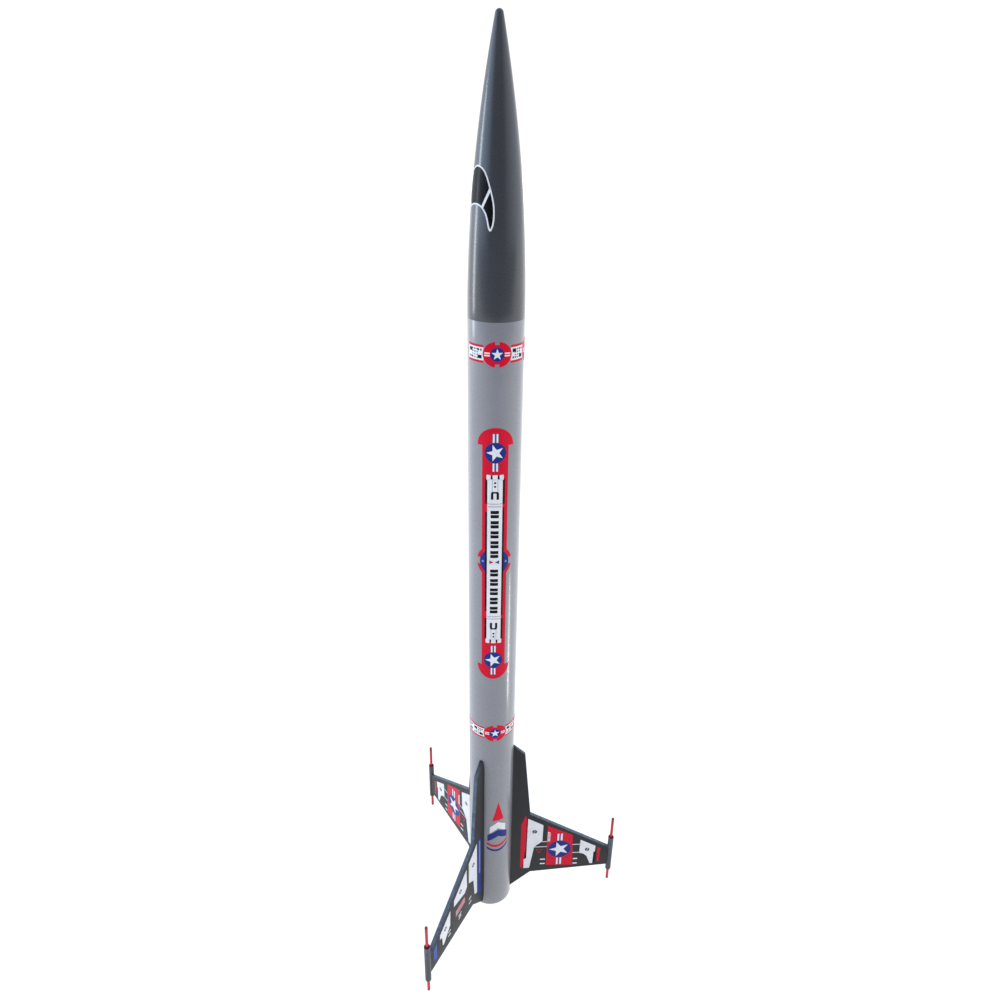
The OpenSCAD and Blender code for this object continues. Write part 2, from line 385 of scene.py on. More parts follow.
@dataclass(frozen=True)
class Paper:
    """Plain wound paper or card, with fibres and, on a tube, its spiral seam."""

    name: str
    colour: Colour
    fibre: Colour
    pitch: float = 0.0

    def material(self) -> bpy.types.Material:
        """Builds the paper: long fibres, fine speckle, a soft nap and the seam between two turns."""
        shader = Shader(self.name, Specular_IOR_Level=0.25, Sheen_Weight=0.15, Sheen_Roughness=0.6)
        fibres = shader.noise(300.0, 5.0, (1.0, 1.0, 5.0))
        speckle = shader.noise(1500.0, 2.0)
        colour = shader.blend(shader.spread(fibres, 0.0, 0.8), self.colour, self.fibre)
        colour = shader.blend(shader.spread(speckle, 0.0, 0.35, 0.55, 0.75), colour, self.fibre)
        normal = shader.bump(fibres, 0.00006)
        if self.pitch > 0.0:
            seam = shader.winding(self.pitch, 0.03)
            colour = shader.blend(shader.math("MULTIPLY", seam, 0.45), colour, self.fibre)
            normal = shader.bump(seam, -0.00008, normal)
        shader.feed("Base Color", colour)
        shader.feed("Roughness", shader.spread(speckle, 0.78, 0.92))
        shader.feed("Normal", normal)
        return shader.material


@dataclass(frozen=True)
class Vinyl:
    """One printed colour of a thin glossy decal film."""

    name: str
    colour: Colour
    faded: Colour

    def material(self) -> bpy.types.Material:
        """Builds the film: print screen speckle, faint fading and small ripples from laying it down."""
        shader = Shader(self.name, Specular_IOR_Level=0.1, Coat_Weight=0.05, Coat_Roughness=0.14, Coat_IOR=1.4)
        fade = shader.noise(90.0, 4.0)
        screen = shader.noise(2600.0, 1.0)
        colour = shader.blend(shader.spread(fade, 0.0, 0.7), self.colour, self.faded)
        colour = shader.blend(shader.spread(screen, 0.0, 0.4, 0.5, 0.8), colour, self.faded)
        shader.feed("Base Color", colour)
        shader.feed("Roughness", shader.spread(fade, 0.26, 0.38))
        shader.feed("Normal", shader.bump(shader.noise(260.0, 2.0), 0.00003))
        return shader.material


@dataclass(frozen=True)
class Moulding:
    """Unpainted moulded plastic."""

    name: str
    colour: Colour
    bloom: Colour

    def material(self) -> bpy.types.Material:
        """Builds the plastic: a fine moulded texture with a pale bloom in places."""
        shader = Shader(self.name, Specular_IOR_Level=0.5)
        flow = shader.noise(70.0, 5.0)
        texture = shader.noise(2200.0, 2.0)
        shader.feed("Base Color", shader.blend(shader.spread(flow, 0.0, 0.8), self.colour, self.bloom))
        shader.feed("Roughness", shader.spread(flow, 0.42, 0.58))
        shader.feed("Normal", shader.bump(texture, 0.00003))
        return shader.material


@dataclass(frozen=True)
class SpringSteel:
    """Blued and rubbed spring strip."""

    name: str
    colour: Colour
    tint: Colour

    def material(self) -> bpy.types.Material:
        """Builds the steel: rolling lines along the strip and a faint heat tint."""
        shader = Shader(self.name, Metallic=1.0)
        lines = shader.noise(420.0, 4.0, (6.0, 6.0, 0.15))
        tint = shader.noise(55.0, 3.0)
        shader.feed("Base Color", shader.blend(shader.spread(tint, 0.0, 0.7), self.colour, self.tint))
        shader.feed("Roughness", shader.spread(lines, 0.24, 0.42))
        shader.feed("Normal", shader.bump(lines, 0.00002))
        return shader.material


@dataclass(frozen=True)
class CanopyFilm:
    """Thin two-coloured canopy film, folded up."""

    name: str
    colour: Colour
    stripe: Colour

    def material(self) -> bpy.types.Material:
        """Builds the film: gores of two colours that show as bands in the folds, crinkles and a soft gloss."""
        shader = Shader(
            self.name, Specular_IOR_Level=0.5, Coat_Weight=0.25, Coat_Roughness=0.2, Subsurface_Weight=0.08,
            Subsurface_Scale=0.002,
        )
        gores = shader.noise(60.0, 2.0, (1.0, 1.0, 0.15))
        crinkle = shader.noise(520.0, 6.0, (1.0, 1.0, 0.5))
        part = shader.node("ShaderNodeSeparateXYZ", {0: shader.place})
        angle = shader.math("ARCTAN2", part.outputs[1], part.outputs[0])
        turns = shader.math("ADD", shader.math("MULTIPLY", angle, 5.0 / TAU), shader.math("MULTIPLY", gores, 2.6))
        band = shader.spread(shader.math("FRACT", turns), 0.0, 1.0, 0.62, 0.65)
        colour = shader.blend(band, self.colour, self.stripe)
        shader.feed("Base Color", shader.blend(shader.spread(crinkle, 0.0, 0.25), colour, self.stripe))
        shader.feed("Roughness", shader.spread(crinkle, 0.3, 0.5))
        shader.feed("Normal", shader.bump(crinkle, 0.0003))
        return shader.material


class Finish(Enum):
    """The finishes of the rocket."""

    BODY_GREY = Paint("body_grey_gloss", linear(125, 125, 131), linear(129, 130, 137), 0.30, 0.5,
                      winding=0.00001)
    NOSE_GREY = Paint("nose_grey_gloss", linear(48, 50, 57), linear(51, 54, 61), 0.28, 0.5, gloss=0.4,
                      peel=0.0000002)
    # Fin edge colour: a painted highlight, lighter and bluish where the edges catch the light.
    FIN_CHARCOAL = Paint("fin_charcoal_satin", linear(32, 32, 34), linear(41, 41, 43), 0.46, 0.0,
                         gloss=0.2, grain=0.00002, edge=linear(98, 112, 132))
    # Pod rim colour: a painted highlight where the rims catch the light.
    POD_CHARCOAL = Paint("pod_charcoal_satin", linear(44, 44, 47), linear(54, 54, 58), 0.42, 0.0,
                         gloss=0.35, edge=linear(90, 94, 104))
    # Near-black sleeve: painted shade for the dark gap inside each pod around its dowel.
    POD_SLEEVE_SHADE = Paint("pod_sleeve_painted_shade", linear(18, 18, 20), linear(28, 28, 30), 0.6)
    DOWEL_RED = Paint("dowel_red_gloss", linear(214, 22, 44), linear(192, 18, 38), 0.33, 0.1, gloss=0.3,
                      grain=0.00003, edge=linear(120, 30, 36))
    KRAFT = Paper("kraft_tube", linear(176, 142, 104), linear(140, 106, 72), 0.046)
    ENGINE_PAPER = Paper("engine_tube_paper", linear(188, 156, 118), linear(150, 116, 80), 0.031)
    CARD = Paper("ring_card", linear(182, 152, 116), linear(128, 98, 68))
    BAND_PAPER = Paper("band_paper", linear(206, 182, 146), linear(170, 140, 102))
    CUP_PLASTIC = Moulding("cup_dark_plastic", linear(58, 60, 66), linear(84, 86, 92))
    STEEL = SpringSteel("hook_spring_steel", (0.50, 0.51, 0.53, 1.0), (0.36, 0.33, 0.32, 1.0))
    CANOPY = CanopyFilm("canopy_film", linear(236, 112, 34), linear(238, 234, 226))
    INK_RED = Vinyl("decal_red", linear(216, 4, 44), linear(204, 8, 46))
    INK_BLUE = Vinyl("decal_blue", linear(22, 44, 122), linear(30, 52, 132))
    INK_AZURE = Vinyl("decal_azure", linear(12, 62, 160), linear(22, 72, 168))
    INK_SKY = Vinyl("decal_sky", linear(126, 138, 202), linear(140, 152, 212))
    INK_WHITE = Vinyl("decal_white", linear(236, 236, 239), linear(218, 219, 224))
    INK_GREY = Vinyl("decal_grey", linear(170, 172, 178), linear(150, 152, 158))
    INK_BLACK = Vinyl("decal_black", linear(5, 5, 7), linear(11, 11, 14))


class Paints:
    """Makes each finish's material once and hands it out."""

    made: dict[Finish, bpy.types.Material] = {}

    @classmethod
    def get(cls, finish: Finish) -> bpy.types.Material:
        """The material of a finish."""
        if finish not in cls.made:
            cls.made[finish] = finish.value.material()
        return cls.made[finish]


# ---------------------------------------------------------------- geometry trees

class GeometryTree(Graph):
    """A Geometry Nodes tree under construction, with one geometry in, one out and named inputs."""

    def __init__(self, name: str) -> None:
        """Starts an empty tree of that name."""
        super().__init__(bpy.data.node_groups.new(name, "GeometryNodeTree"))
        face = self.tree.interface
        face.new_socket("Geometry", in_out="INPUT", socket_type="NodeSocketGeometry")
        face.new_socket("Geometry", in_out="OUTPUT", socket_type="NodeSocketGeometry")
        self.identifiers: dict[str, str] = {}
        self.input("Material", "NodeSocketMaterial")
        self.entry = self.tree.nodes.new("NodeGroupInput")
        self.exit = self.tree.nodes.new("NodeGroupOutput")

    def input(self, name: str, kind: str) -> None:
        """Adds a named input of that socket type."""
        socket = self.tree.interface.new_socket(name, in_out="INPUT", socket_type=kind)
        self.identifiers[name] = socket.identifier

    def given(self, name: str) -> bpy.types.NodeSocket:
        """The value that comes in under that name."""
        return self.entry.outputs[name]

    def close(self, geometry: bpy.types.NodeSocket) -> "GeometryTree":
        """Ends the tree: realizes instances, sets the material and hands the geometry out."""
        real = self.node("GeometryNodeRealizeInstances", {"Geometry": geometry})
        dressed = self.node("GeometryNodeSetMaterial", {
            "Geometry": real.outputs[0], "Material": self.given("Material"),
        })
        self.tree.links.new(dressed.outputs[0], self.exit.inputs[0])
        return self

    def run(self, source: bpy.types.Mesh, finish: Finish, values: dict[str, object]) -> bpy.types.Mesh:
        """Runs the tree on a mesh.

        Args:
            source: The mesh that goes in.
            finish: Finish of everything that comes out.
            values: The named inputs' values.

        Returns:
            The result as a plain mesh.
        """
        carrier = bpy.data.objects.new("carrier", source)
        bpy.context.scene.collection.objects.link(carrier)
        modifier = carrier.modifiers.new("tree", "NODES")
        modifier.node_group = self.tree
        modifier[self.identifiers["Material"]] = Paints.get(finish)
        for name, value in values.items():
            modifier[self.identifiers[name]] = value
        graph = bpy.context.evaluated_depsgraph_get()
        result = bpy.data.meshes.new_from_object(carrier.evaluated_get(graph))
        carrier.modifiers.remove(modifier)
        bpy.data.objects.remove(carrier)
        result.materials.clear()
        result.materials.append(Paints.get(finish))
        result.polygons.foreach_set("material_index", [0] * len(result.polygons))
        return result


def lathe_tree() -> GeometryTree:
    """A tree that turns a profile in the XZ plane round the Z axis.

    Returns:
        The tree. Its input Segments is the number of steps round.
    """
    tree = GeometryTree("lathe")
    tree.input("Segments", "NodeSocketInt")
    profile = tree.given("Geometry")
    rows = tree.node("GeometryNodeAttributeDomainSize", {"Geometry": profile}, component="MESH").outputs[0]
    columns = tree.math("ADD", tree.given("Segments"), 1.0)
    grid = tree.node("GeometryNodeMeshGrid", {"Vertices X": columns, "Vertices Y": rows})
    index = tree.node("GeometryNodeInputIndex").outputs[0]
    column = tree.math("FLOOR", tree.math("DIVIDE", tree.math("ADD", index, 0.5), rows))
    row = tree.math("SUBTRACT", index, tree.math("MULTIPLY", column, rows))
    place = tree.node("GeometryNodeInputPosition").outputs[0]
    sample = tree.node("GeometryNodeSampleIndex", {"Geometry": profile}, data_type="FLOAT_VECTOR", domain="POINT")
    tree.tree.links.new(place, sample.inputs["Value"])
    tree.tree.links.new(row, sample.inputs["Index"])
    part = tree.node("ShaderNodeSeparateXYZ", {0: sample.outputs[0]})
    angle = tree.math("DIVIDE", tree.math("MULTIPLY", column, TAU), tree.given("Segments"))
    x = tree.math("MULTIPLY", part.outputs[0], tree.math("COSINE", angle))
    y = tree.math("MULTIPLY", part.outputs[0], tree.math("SINE", angle))
    point = tree.node("ShaderNodeCombineXYZ", {0: x, 1: y, 2: part.outputs[2]})
    turned = tree.node("GeometryNodeSetPosition", {"Geometry": grid.outputs[0], "Position": point.outputs[0]})
    welded = tree.node("GeometryNodeMergeByDistance", {"Geometry": turned.outputs[0], "Distance": 2e-6})
    return tree.close(welded.outputs[0])


def ring_tree() -> GeometryTree:
    """A tree that repeats a shape at equal turns round the Z axis.

    Returns:
        The tree. Its inputs are Count, the number of copies, and Pitch, the turn between two of them.
    """
    tree = GeometryTree("ring_of_copies")
    tree.input("Count", "NodeSocketInt")
    tree.input("Pitch", "NodeSocketFloat")
    points = tree.node("GeometryNodePoints", {"Count": tree.given("Count")})
    index = tree.node("GeometryNodeInputIndex").outputs[0]
    angle = tree.math("MULTIPLY", index, tree.given("Pitch"))
    turn = tree.node("ShaderNodeCombineXYZ", {2: angle})
    copies = tree.node("GeometryNodeInstanceOnPoints", {
        "Points": points.outputs[0], "Instance": tree.given("Geometry"), "Rotation": turn.outputs[0],
    })
    return tree.close(copies.outputs[0])


def row_tree() -> GeometryTree:
    """A tree that repeats a flat shape along the Y axis, with each copy's width drawn at random.

    Returns:
        The tree. Its inputs are Count, Pitch in metres, Narrowest as a share of the width, and Seed.
    """
    tree = GeometryTree("row_of_marks")
    tree.input("Count", "NodeSocketInt")
    tree.input("Pitch", "NodeSocketFloat")
    tree.input("Narrowest", "NodeSocketFloat")
    tree.input("Seed", "NodeSocketInt")
    index = tree.node("GeometryNodeInputIndex").outputs[0]
    along = tree.math("MULTIPLY", index, tree.given("Pitch"))
    place = tree.node("ShaderNodeCombineXYZ", {1: along})
    points = tree.node("GeometryNodePoints", {"Count": tree.given("Count"), "Position": place.outputs[0]})
    drawn = tree.node("FunctionNodeRandomValue", {"Seed": tree.given("Seed")}, data_type="FLOAT")
    tree.tree.links.new(tree.given("Narrowest"), drawn.inputs[2])
    drawn.inputs[3].default_value = 1.0
    stretch = tree.node("ShaderNodeCombineXYZ", {0: drawn.outputs[1], 1: 1.0, 2: 1.0})
    copies = tree.node("GeometryNodeInstanceOnPoints", {
        "Points": points.outputs[0], "Instance": tree.given("Geometry"), "Scale": stretch.outputs[0],
    })
    return tree.close(copies.outputs[0])


def helix_tree() -> GeometryTree:
    """A tree that lays the raised lap of a spiral winding on a paper tube.

    Returns:
        The tree. Its inputs are Radius, Height, Turns, Width and Rise, all lengths in metres.
    """
    tree = GeometryTree("winding_lap")
    for name in ("Radius", "Height", "Turns", "Width", "Rise"):
        tree.input(name, "NodeSocketFloat")
    spiral = tree.node("GeometryNodeCurveSpiral", {
        "Resolution": 64, "Rotations": tree.given("Turns"), "Start Radius": tree.given("Radius"),
        "End Radius": tree.given("Radius"), "Height": tree.given("Height"),
    })
    section = tree.node("GeometryNodeCurvePrimitiveQuadrilateral", {
        "Width": tree.given("Rise"), "Height": tree.given("Width"),
    })
    swept = tree.node("GeometryNodeCurveToMesh", {
        "Curve": spiral.outputs[0], "Profile Curve": section.outputs[0], "Fill Caps": True,
    })
    return tree.close(swept.outputs[0])


def fold_tree() -> GeometryTree:
    """A tree that presses lengthwise folds and crinkles into a round bundle.

    Returns:
        The tree. Its inputs are Depth and Crinkle in metres, Folds per metre, Twist in turns per metre and Seed.
    """
    tree = GeometryTree("folded_bundle")
    for name in ("Depth", "Crinkle", "Folds", "Twist", "Seed"):
        tree.input(name, "NodeSocketFloat")
    place = tree.node("GeometryNodeInputPosition").outputs[0]
    part = tree.node("ShaderNodeSeparateXYZ", {0: place})
    turn = tree.math("MULTIPLY", tree.math("MULTIPLY", part.outputs[2], tree.given("Twist")), TAU)
    twisted = tree.node("ShaderNodeVectorRotate", {"Vector": place, "Angle": turn}, rotation_type="Z_AXIS")
    flat = tree.node("ShaderNodeVectorMath", {0: twisted.outputs[0], 1: (1.0, 1.0, 0.10)}, operation="MULTIPLY")
    folds = tree.node("ShaderNodeTexNoise", {
        "Vector": flat.outputs[0], "W": tree.given("Seed"), "Scale": tree.given("Folds"), "Detail": 1.5,
    }, noise_dimensions="4D").outputs[0]
    ridge = tree.math("ABSOLUTE", tree.math("SUBTRACT", tree.math("MULTIPLY", folds, 4.0), 2.0))
    ridge = tree.math("MINIMUM", ridge, 1.0)
    crinkle = tree.node("ShaderNodeTexNoise", {
        "Vector": place, "W": tree.given("Seed"), "Scale": 260.0, "Detail": 3.0,
    }, noise_dimensions="4D").outputs[0]
    sink = tree.math("MULTIPLY", tree.math("SUBTRACT", ridge, 1.0), tree.given("Depth"))
    swell = tree.math("MULTIPLY", tree.math("SUBTRACT", crinkle, 0.75), tree.given("Crinkle"))
    normal = tree.node("GeometryNodeInputNormal").outputs[0]
    push = tree.node("ShaderNodeVectorMath", {0: normal}, operation="SCALE")
    tree.tree.links.new(tree.math("ADD", sink, swell), push.inputs["Scale"])
    moved = tree.node("GeometryNodeSetPosition", {
        "Geometry": tree.given("Geometry"), "Offset": push.outputs[0],
    })
    return tree.close(moved.outputs[0])


class Trees:
    """The geometry trees, made once."""

    lathe = lathe_tree()
    ring = ring_tree()
    row = row_tree()
    helix = helix_tree()
    fold = fold_tree()


# ---------------------------------------------------------------- meshes

def smooth(mesh: bpy.types.Mesh, limit: float = 35.0) -> bpy.types.Mesh:
    """Shades a mesh smooth, with a sharp edge wherever it turns by more than the limit in degrees."""
    mesh.shade_smooth()
    mesh.set_sharp_from_angle(angle=math.radians(limit))
    return mesh


def outward(mesh: bpy.types.Mesh) -> bpy.types.Mesh:
    """Merges doubles and points every face of a closed mesh outwards."""
    work = bmesh.new()
    work.from_mesh(mesh)
    bmesh.ops.remove_doubles(work, verts=work.verts, dist=1e-7)
    bmesh.ops.recalc_face_normals(work, faces=work.faces)
    work.to_mesh(mesh)
    work.free()
    return mesh


def mark_edges(mesh: bpy.types.Mesh, share: Callable[[Vector], float]) -> None:
    """Writes how much of the edge tint each point takes, 0 to 1, to the attribute that the paints read; on fins and pod
    rims that tint is a painted highlight.
    """
    layer = mesh.attributes.get("edge") or mesh.attributes.new("edge", "FLOAT", "POINT")
    for vertex in mesh.vertices:
        layer.data[vertex.index].value = share(vertex.co)


def turned(profile: Sequence[Point2], finish: Finish, segments: int = 96, at: Sequence[float] = (0, 0, 0),
           finish_limit: float = 35.0) -> bpy.types.Mesh:
    """A solid of revolution round Z.

    Args:
        profile: Distance from the axis and height of each profile point, in metres. Repeat the first point at
            the end to close a ring section.
        finish: The finish all over.
        segments: Steps round.
        at: Where the profile's origin goes.
        finish_limit: Angle in degrees above which an edge stays sharp.

    Returns:
        The closed mesh.
    """
    line = bpy.data.meshes.new("profile")
    line.from_pydata([(r, 0.0, z) for r, z in profile], [(i, i + 1) for i in range(len(profile) - 1)], [])
    mesh = outward(Trees.lathe.run(line, finish, {"Segments": segments}))
    mesh.transform(Matrix.Translation(at))
    return smooth(mesh, finish_limit)


def ring_section(inner: float, outer: float, low: float, high: float, rounding: float) -> list[Point2]:
    """The closed, rounded section of a tube or a ring, for turned()."""
    corners = [(inner, low), (outer, low), (outer, high), (inner, high)]
    section = fillet(corners, rounding, True, 3)
    return section + section[:1]


def joined(meshes: Iterable[bpy.types.Mesh]) -> bpy.types.Mesh:
    """Joins meshes into one that keeps their materials.

    Args:
        meshes: The meshes, each with one material.

    Returns:
        The joined mesh.
    """
    work = bmesh.new()
    materials: list[bpy.types.Material] = []
    for mesh in meshes:
        start = len(work.faces)
        work.from_mesh(mesh)
        work.faces.ensure_lookup_table()
        for face in work.faces[start:]:
            material = mesh.materials[face.material_index]
            if material not in materials:
                materials.append(material)
            face.material_index = materials.index(material)
    result = bpy.data.meshes.new("joined")
    work.to_mesh(result)
    work.free()
    for material in materials:
        result.materials.append(material)
    return result


def plate(outline: Sequence[Point2], thickness: float, rounding: float, finish: Finish) -> bpy.types.Mesh:
    """A flat plate with rounded edges, standing in the XZ plane.

    Args:
        outline: Counter-clockwise X and Z of its corners, in metres.
        thickness: Its thickness along Y.
        rounding: Radius of the rounding along every edge.
        finish: The finish all over.

    Returns:
        The closed mesh.
    """
    half = thickness / 2.0
    steps = 4
    stations: list[tuple[float, float, float]] = []
    for k in range(steps + 1):
        angle = QUARTER * k / steps
        stations.append((-half + rounding * (1 - math.sin(angle)), rounding * (1 - math.cos(angle)), angle))
    stations = stations[::-1]
    levels = [(y, depth) for y, depth, _ in stations] + [(-y, depth) for y, depth, _ in stations[::-1]]
    work = bmesh.new()
    rings = []
    for y, depth in levels:
        ring = inset(outline, depth)
        rings.append([work.verts.new((x, y, z)) for x, z in ring])
    count = len(outline)
    for low, high in zip(rings, rings[1:]):
        for i in range(count):
            j = (i + 1) % count
            work.faces.new((low[i], low[j], high[j], high[i]))
    caps = [work.faces.new(rings[0][::-1]), work.faces.new(rings[-1])]
    work.normal_update()
    bmesh.ops.triangulate(work, faces=caps)
    bmesh.ops.recalc_face_normals(work, faces=work.faces)
    mesh = bpy.data.meshes.new("plate")
    work.to_mesh(mesh)
    work.free()
    mesh.materials.append(Paints.get(finish))
    return smooth(mesh, 40.0)


def prism(stations: Sequence[tuple[Sequence[Vector], bool]], finish: Finish) -> bpy.types.Mesh:
    """A closed skin over cross-sections that have the same number of points.

    Args:
        stations: The points of each cross-section, in order, and whether that section is a closing end.
        finish: The finish all over.

    Returns:
        The closed mesh.
    """
    work = bmesh.new()
    rings = [[work.verts.new(p) for p in points] for points, _ in stations]
    count = len(rings[0])
    for low, high in zip(rings, rings[1:]):
        for i in range(count):
            work.faces.new((low[i], low[(i + 1) % count], high[(i + 1) % count], high[i]))
    for ring, (_, closing) in zip(rings, stations):
        if closing:
            work.faces.new(ring)
    bmesh.ops.recalc_face_normals(work, faces=work.faces)
    mesh = bpy.data.meshes.new("prism")
    work.to_mesh(mesh)
    work.free()
    mesh.materials.append(Paints.get(finish))
    return smooth(mesh)


def hang(mesh: bpy.types.Mesh, name: str, body: str, replaces: Sequence[str] = ()) -> bpy.types.Object:
    """Makes a piece of a finished mesh and hangs it on the frame.

    Args:
        mesh: The mesh, in its place in the frame.
        name: The piece's name.
        body: The CAD body that it moves with.
        replaces: CAD nodes that it stands for.

    Returns:
        The piece.
    """
    mesh.name = name
    piece = bpy.data.objects.new(name, mesh)
    bpy.context.scene.collection.objects.link(piece)
    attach(piece, body)
    if replaces:
        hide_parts(*replaces)
    log.info("%s: %d faces on %s", name, len(mesh.polygons), body)
    return piece


def dress(node: str, finish: Finish) -> None:
    """Gives a CAD node a finish in place of its plain colour."""
    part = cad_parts[node]
    part.data.materials.clear()
    part.data.materials.append(Paints.get(finish))
    log.info("%s: dressed in %s", node, finish.value.name)


# ---------------------------------------------------------------- shared sizes

@dataclass(frozen=True)
class Airframe:
    """Sizes of the frame that several sub-assemblies share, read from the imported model."""

    radius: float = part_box("body_tube")[1].x
    length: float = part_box("body_tube")[1].z
    wall: float = 0.55 * MM
    nose_tip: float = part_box("nose_cone")[1].z
    nose_tip_radius: float = 2.75 * MM
    shoulder_low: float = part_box("nose_cone")[0].z
    pod_axis: float = (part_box("pod_tube_a")[0].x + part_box("pod_tube_a")[1].x) / 2.0
    fin_thickness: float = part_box("fin_a")[1].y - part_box("fin_a")[0].y
    fins: tuple[tuple[str, float, float], ...] = (("a", 0.0, -1.0), ("b", 120.0, 1.0), ("c", 240.0, -1.0))

    @property
    def bore(self) -> float:
        """Inner radius of the body tube."""
        return self.radius - self.wall

    @property
    def ogive(self) -> float:
        """Radius of the circle that the nose outline follows."""
        tip = self.nose_tip_radius
        rise = self.nose_tip - self.length - tip
        return (rise ** 2 + self.radius ** 2 - tip ** 2) / (2.0 * (self.radius - tip))

    def nose_radius(self, height: float) -> float:
        """Radius of the nose at a height above the tail, up to the rounded tip."""
        return math.sqrt(self.ogive ** 2 - (height - self.length) ** 2) - (self.ogive - self.radius)

    def nose_slope(self, height: float) -> float:
        """Angle between the nose's surface and the vertical at a height above the tail."""
        return math.asin((height - self.length) / self.ogive)


AIRFRAME = Airframe()


# ---------------------------------------------------------------- sub-assemblies

@dataclass
class NoseCone:
    """The moulded nose: a hollow ogive with its shoulder, and the cup that closes it."""

    wall: float = 1.2 * MM
    shoulder_gap: float = 0.05 * MM
    step_height: float = 2.5 * MM
    base_round: float = 0.25 * MM
    ogive_steps: int = 90
    tip_steps: int = 14
    segments: int = 160

    def outline(self, depth: float) -> list[Point2]:
        """The nose outline from its base to its tip, set in by a depth."""
        tip = AIRFRAME.nose_tip_radius
        ogive = AIRFRAME.ogive
        end = math.acos((ogive - AIRFRAME.radius) / (ogive - tip))
        points = []
        for k in range(self.ogive_steps + 1):
            angle = end * k / self.ogive_steps
            points.append((AIRFRAME.radius - ogive + (ogive - depth) * math.cos(angle),
                           AIRFRAME.length + (ogive - depth) * math.sin(angle)))
        centre = AIRFRAME.nose_tip - tip
        for k in range(1, self.tip_steps):
            angle = end + (QUARTER - end) * k / self.tip_steps
            points.append(((tip - depth) * math.cos(angle), centre + (tip - depth) * math.sin(angle)))
        return points + [(0.0, centre + tip - depth)]

    def build(self) -> None:
        """Builds the shell and dresses the cup."""
        base = AIRFRAME.length
        low = AIRFRAME.shoulder_low
        outer = self.outline(0.0)
        inner = self.outline(self.wall)
        shoulder = AIRFRAME.bore - self.shoulder_gap
        shoulder_bore = shoulder - self.wall
        skirt = fillet([
            (shoulder_bore, base + self.step_height),
            (shoulder_bore, low),
            (shoulder, low),
            (shoulder, base - 0.02 * MM),
            (AIRFRAME.radius, base + 0.02 * MM),
            outer[3],
        ], self.base_round, False, 4)
        ledge = [p for p in inner if p[1] > base + self.step_height]
        profile = ledge[::-1] + skirt + outer[4:]
        mesh = turned(profile, Finish.NOSE_GREY, self.segments)
        mesh.materials.append(Paints.get(Finish.CUP_PLASTIC))
        paint_edge = shoulder + 0.02 * MM
        for face in mesh.polygons:
            bare = face.center.z < base + 0.01 * MM and math.hypot(face.center.x, face.center.y) < paint_edge
            face.material_index = 1 if bare else 0
        hang(mesh, "nose_shell", "nose", ["nose_cone"])
        dress("nose_insert", Finish.CUP_PLASTIC)


@dataclass
class BodyTube:
    """The spiral-wound paper tube: painted outside, bare kraft inside, with its winding lap."""

    rim_round: float = 0.12 * MM
    segments: int = 192
    rows: int = 40
    lap_pitch: float = 46.0 * MM
    lap_width: float = 0.9 * MM
    lap_rise: float = 0.12 * MM

    def build(self) -> None:
        """Builds the tube in two skins that meet at the rims, and the lap inside it."""
        heights = [AIRFRAME.length * k / self.rows for k in range(self.rows + 1)]
        corners = [(AIRFRAME.bore, heights[0]), (AIRFRAME.radius, heights[0]),
                   (AIRFRAME.radius, heights[-1]), (AIRFRAME.bore, heights[-1])]
        ring = fillet(corners, self.rim_round, True, 3)
        wall_rows = [(AIRFRAME.radius, z) for z in heights[1:-1]]
        half = len(ring) // 2
        profile = ring[:half] + wall_rows + ring[half:] + ring[:1]
        mesh = turned(profile, Finish.BODY_GREY, self.segments)
        mesh.materials.append(Paints.get(Finish.KRAFT))
        edge = AIRFRAME.bore + 0.35 * AIRFRAME.wall
        for face in mesh.polygons:
            if math.hypot(face.center.x, face.center.y) < edge:
                face.material_index = 1
        lap = self.lap()
        hang(joined([mesh_part for mesh_part in (mesh, lap)]), "tube_wound", "rocket", ["body_tube"])

    def lap(self) -> bpy.types.Mesh:
        """The raised lap of the winding on the tube's inner side, between the mount and the nose."""
        low = 110.0 * MM
        high = 490.0 * MM
        seedbed = bpy.data.meshes.new("seedbed")
        mesh = Trees.helix.run(seedbed, Finish.KRAFT, {
            "Radius": AIRFRAME.bore, "Height": high - low, "Turns": (high - low) / self.lap_pitch,
            "Width": self.lap_width, "Rise": self.lap_rise,
        })
        mesh.transform(Matrix.Translation((0.0, 0.0, low)))
        return outward(mesh)


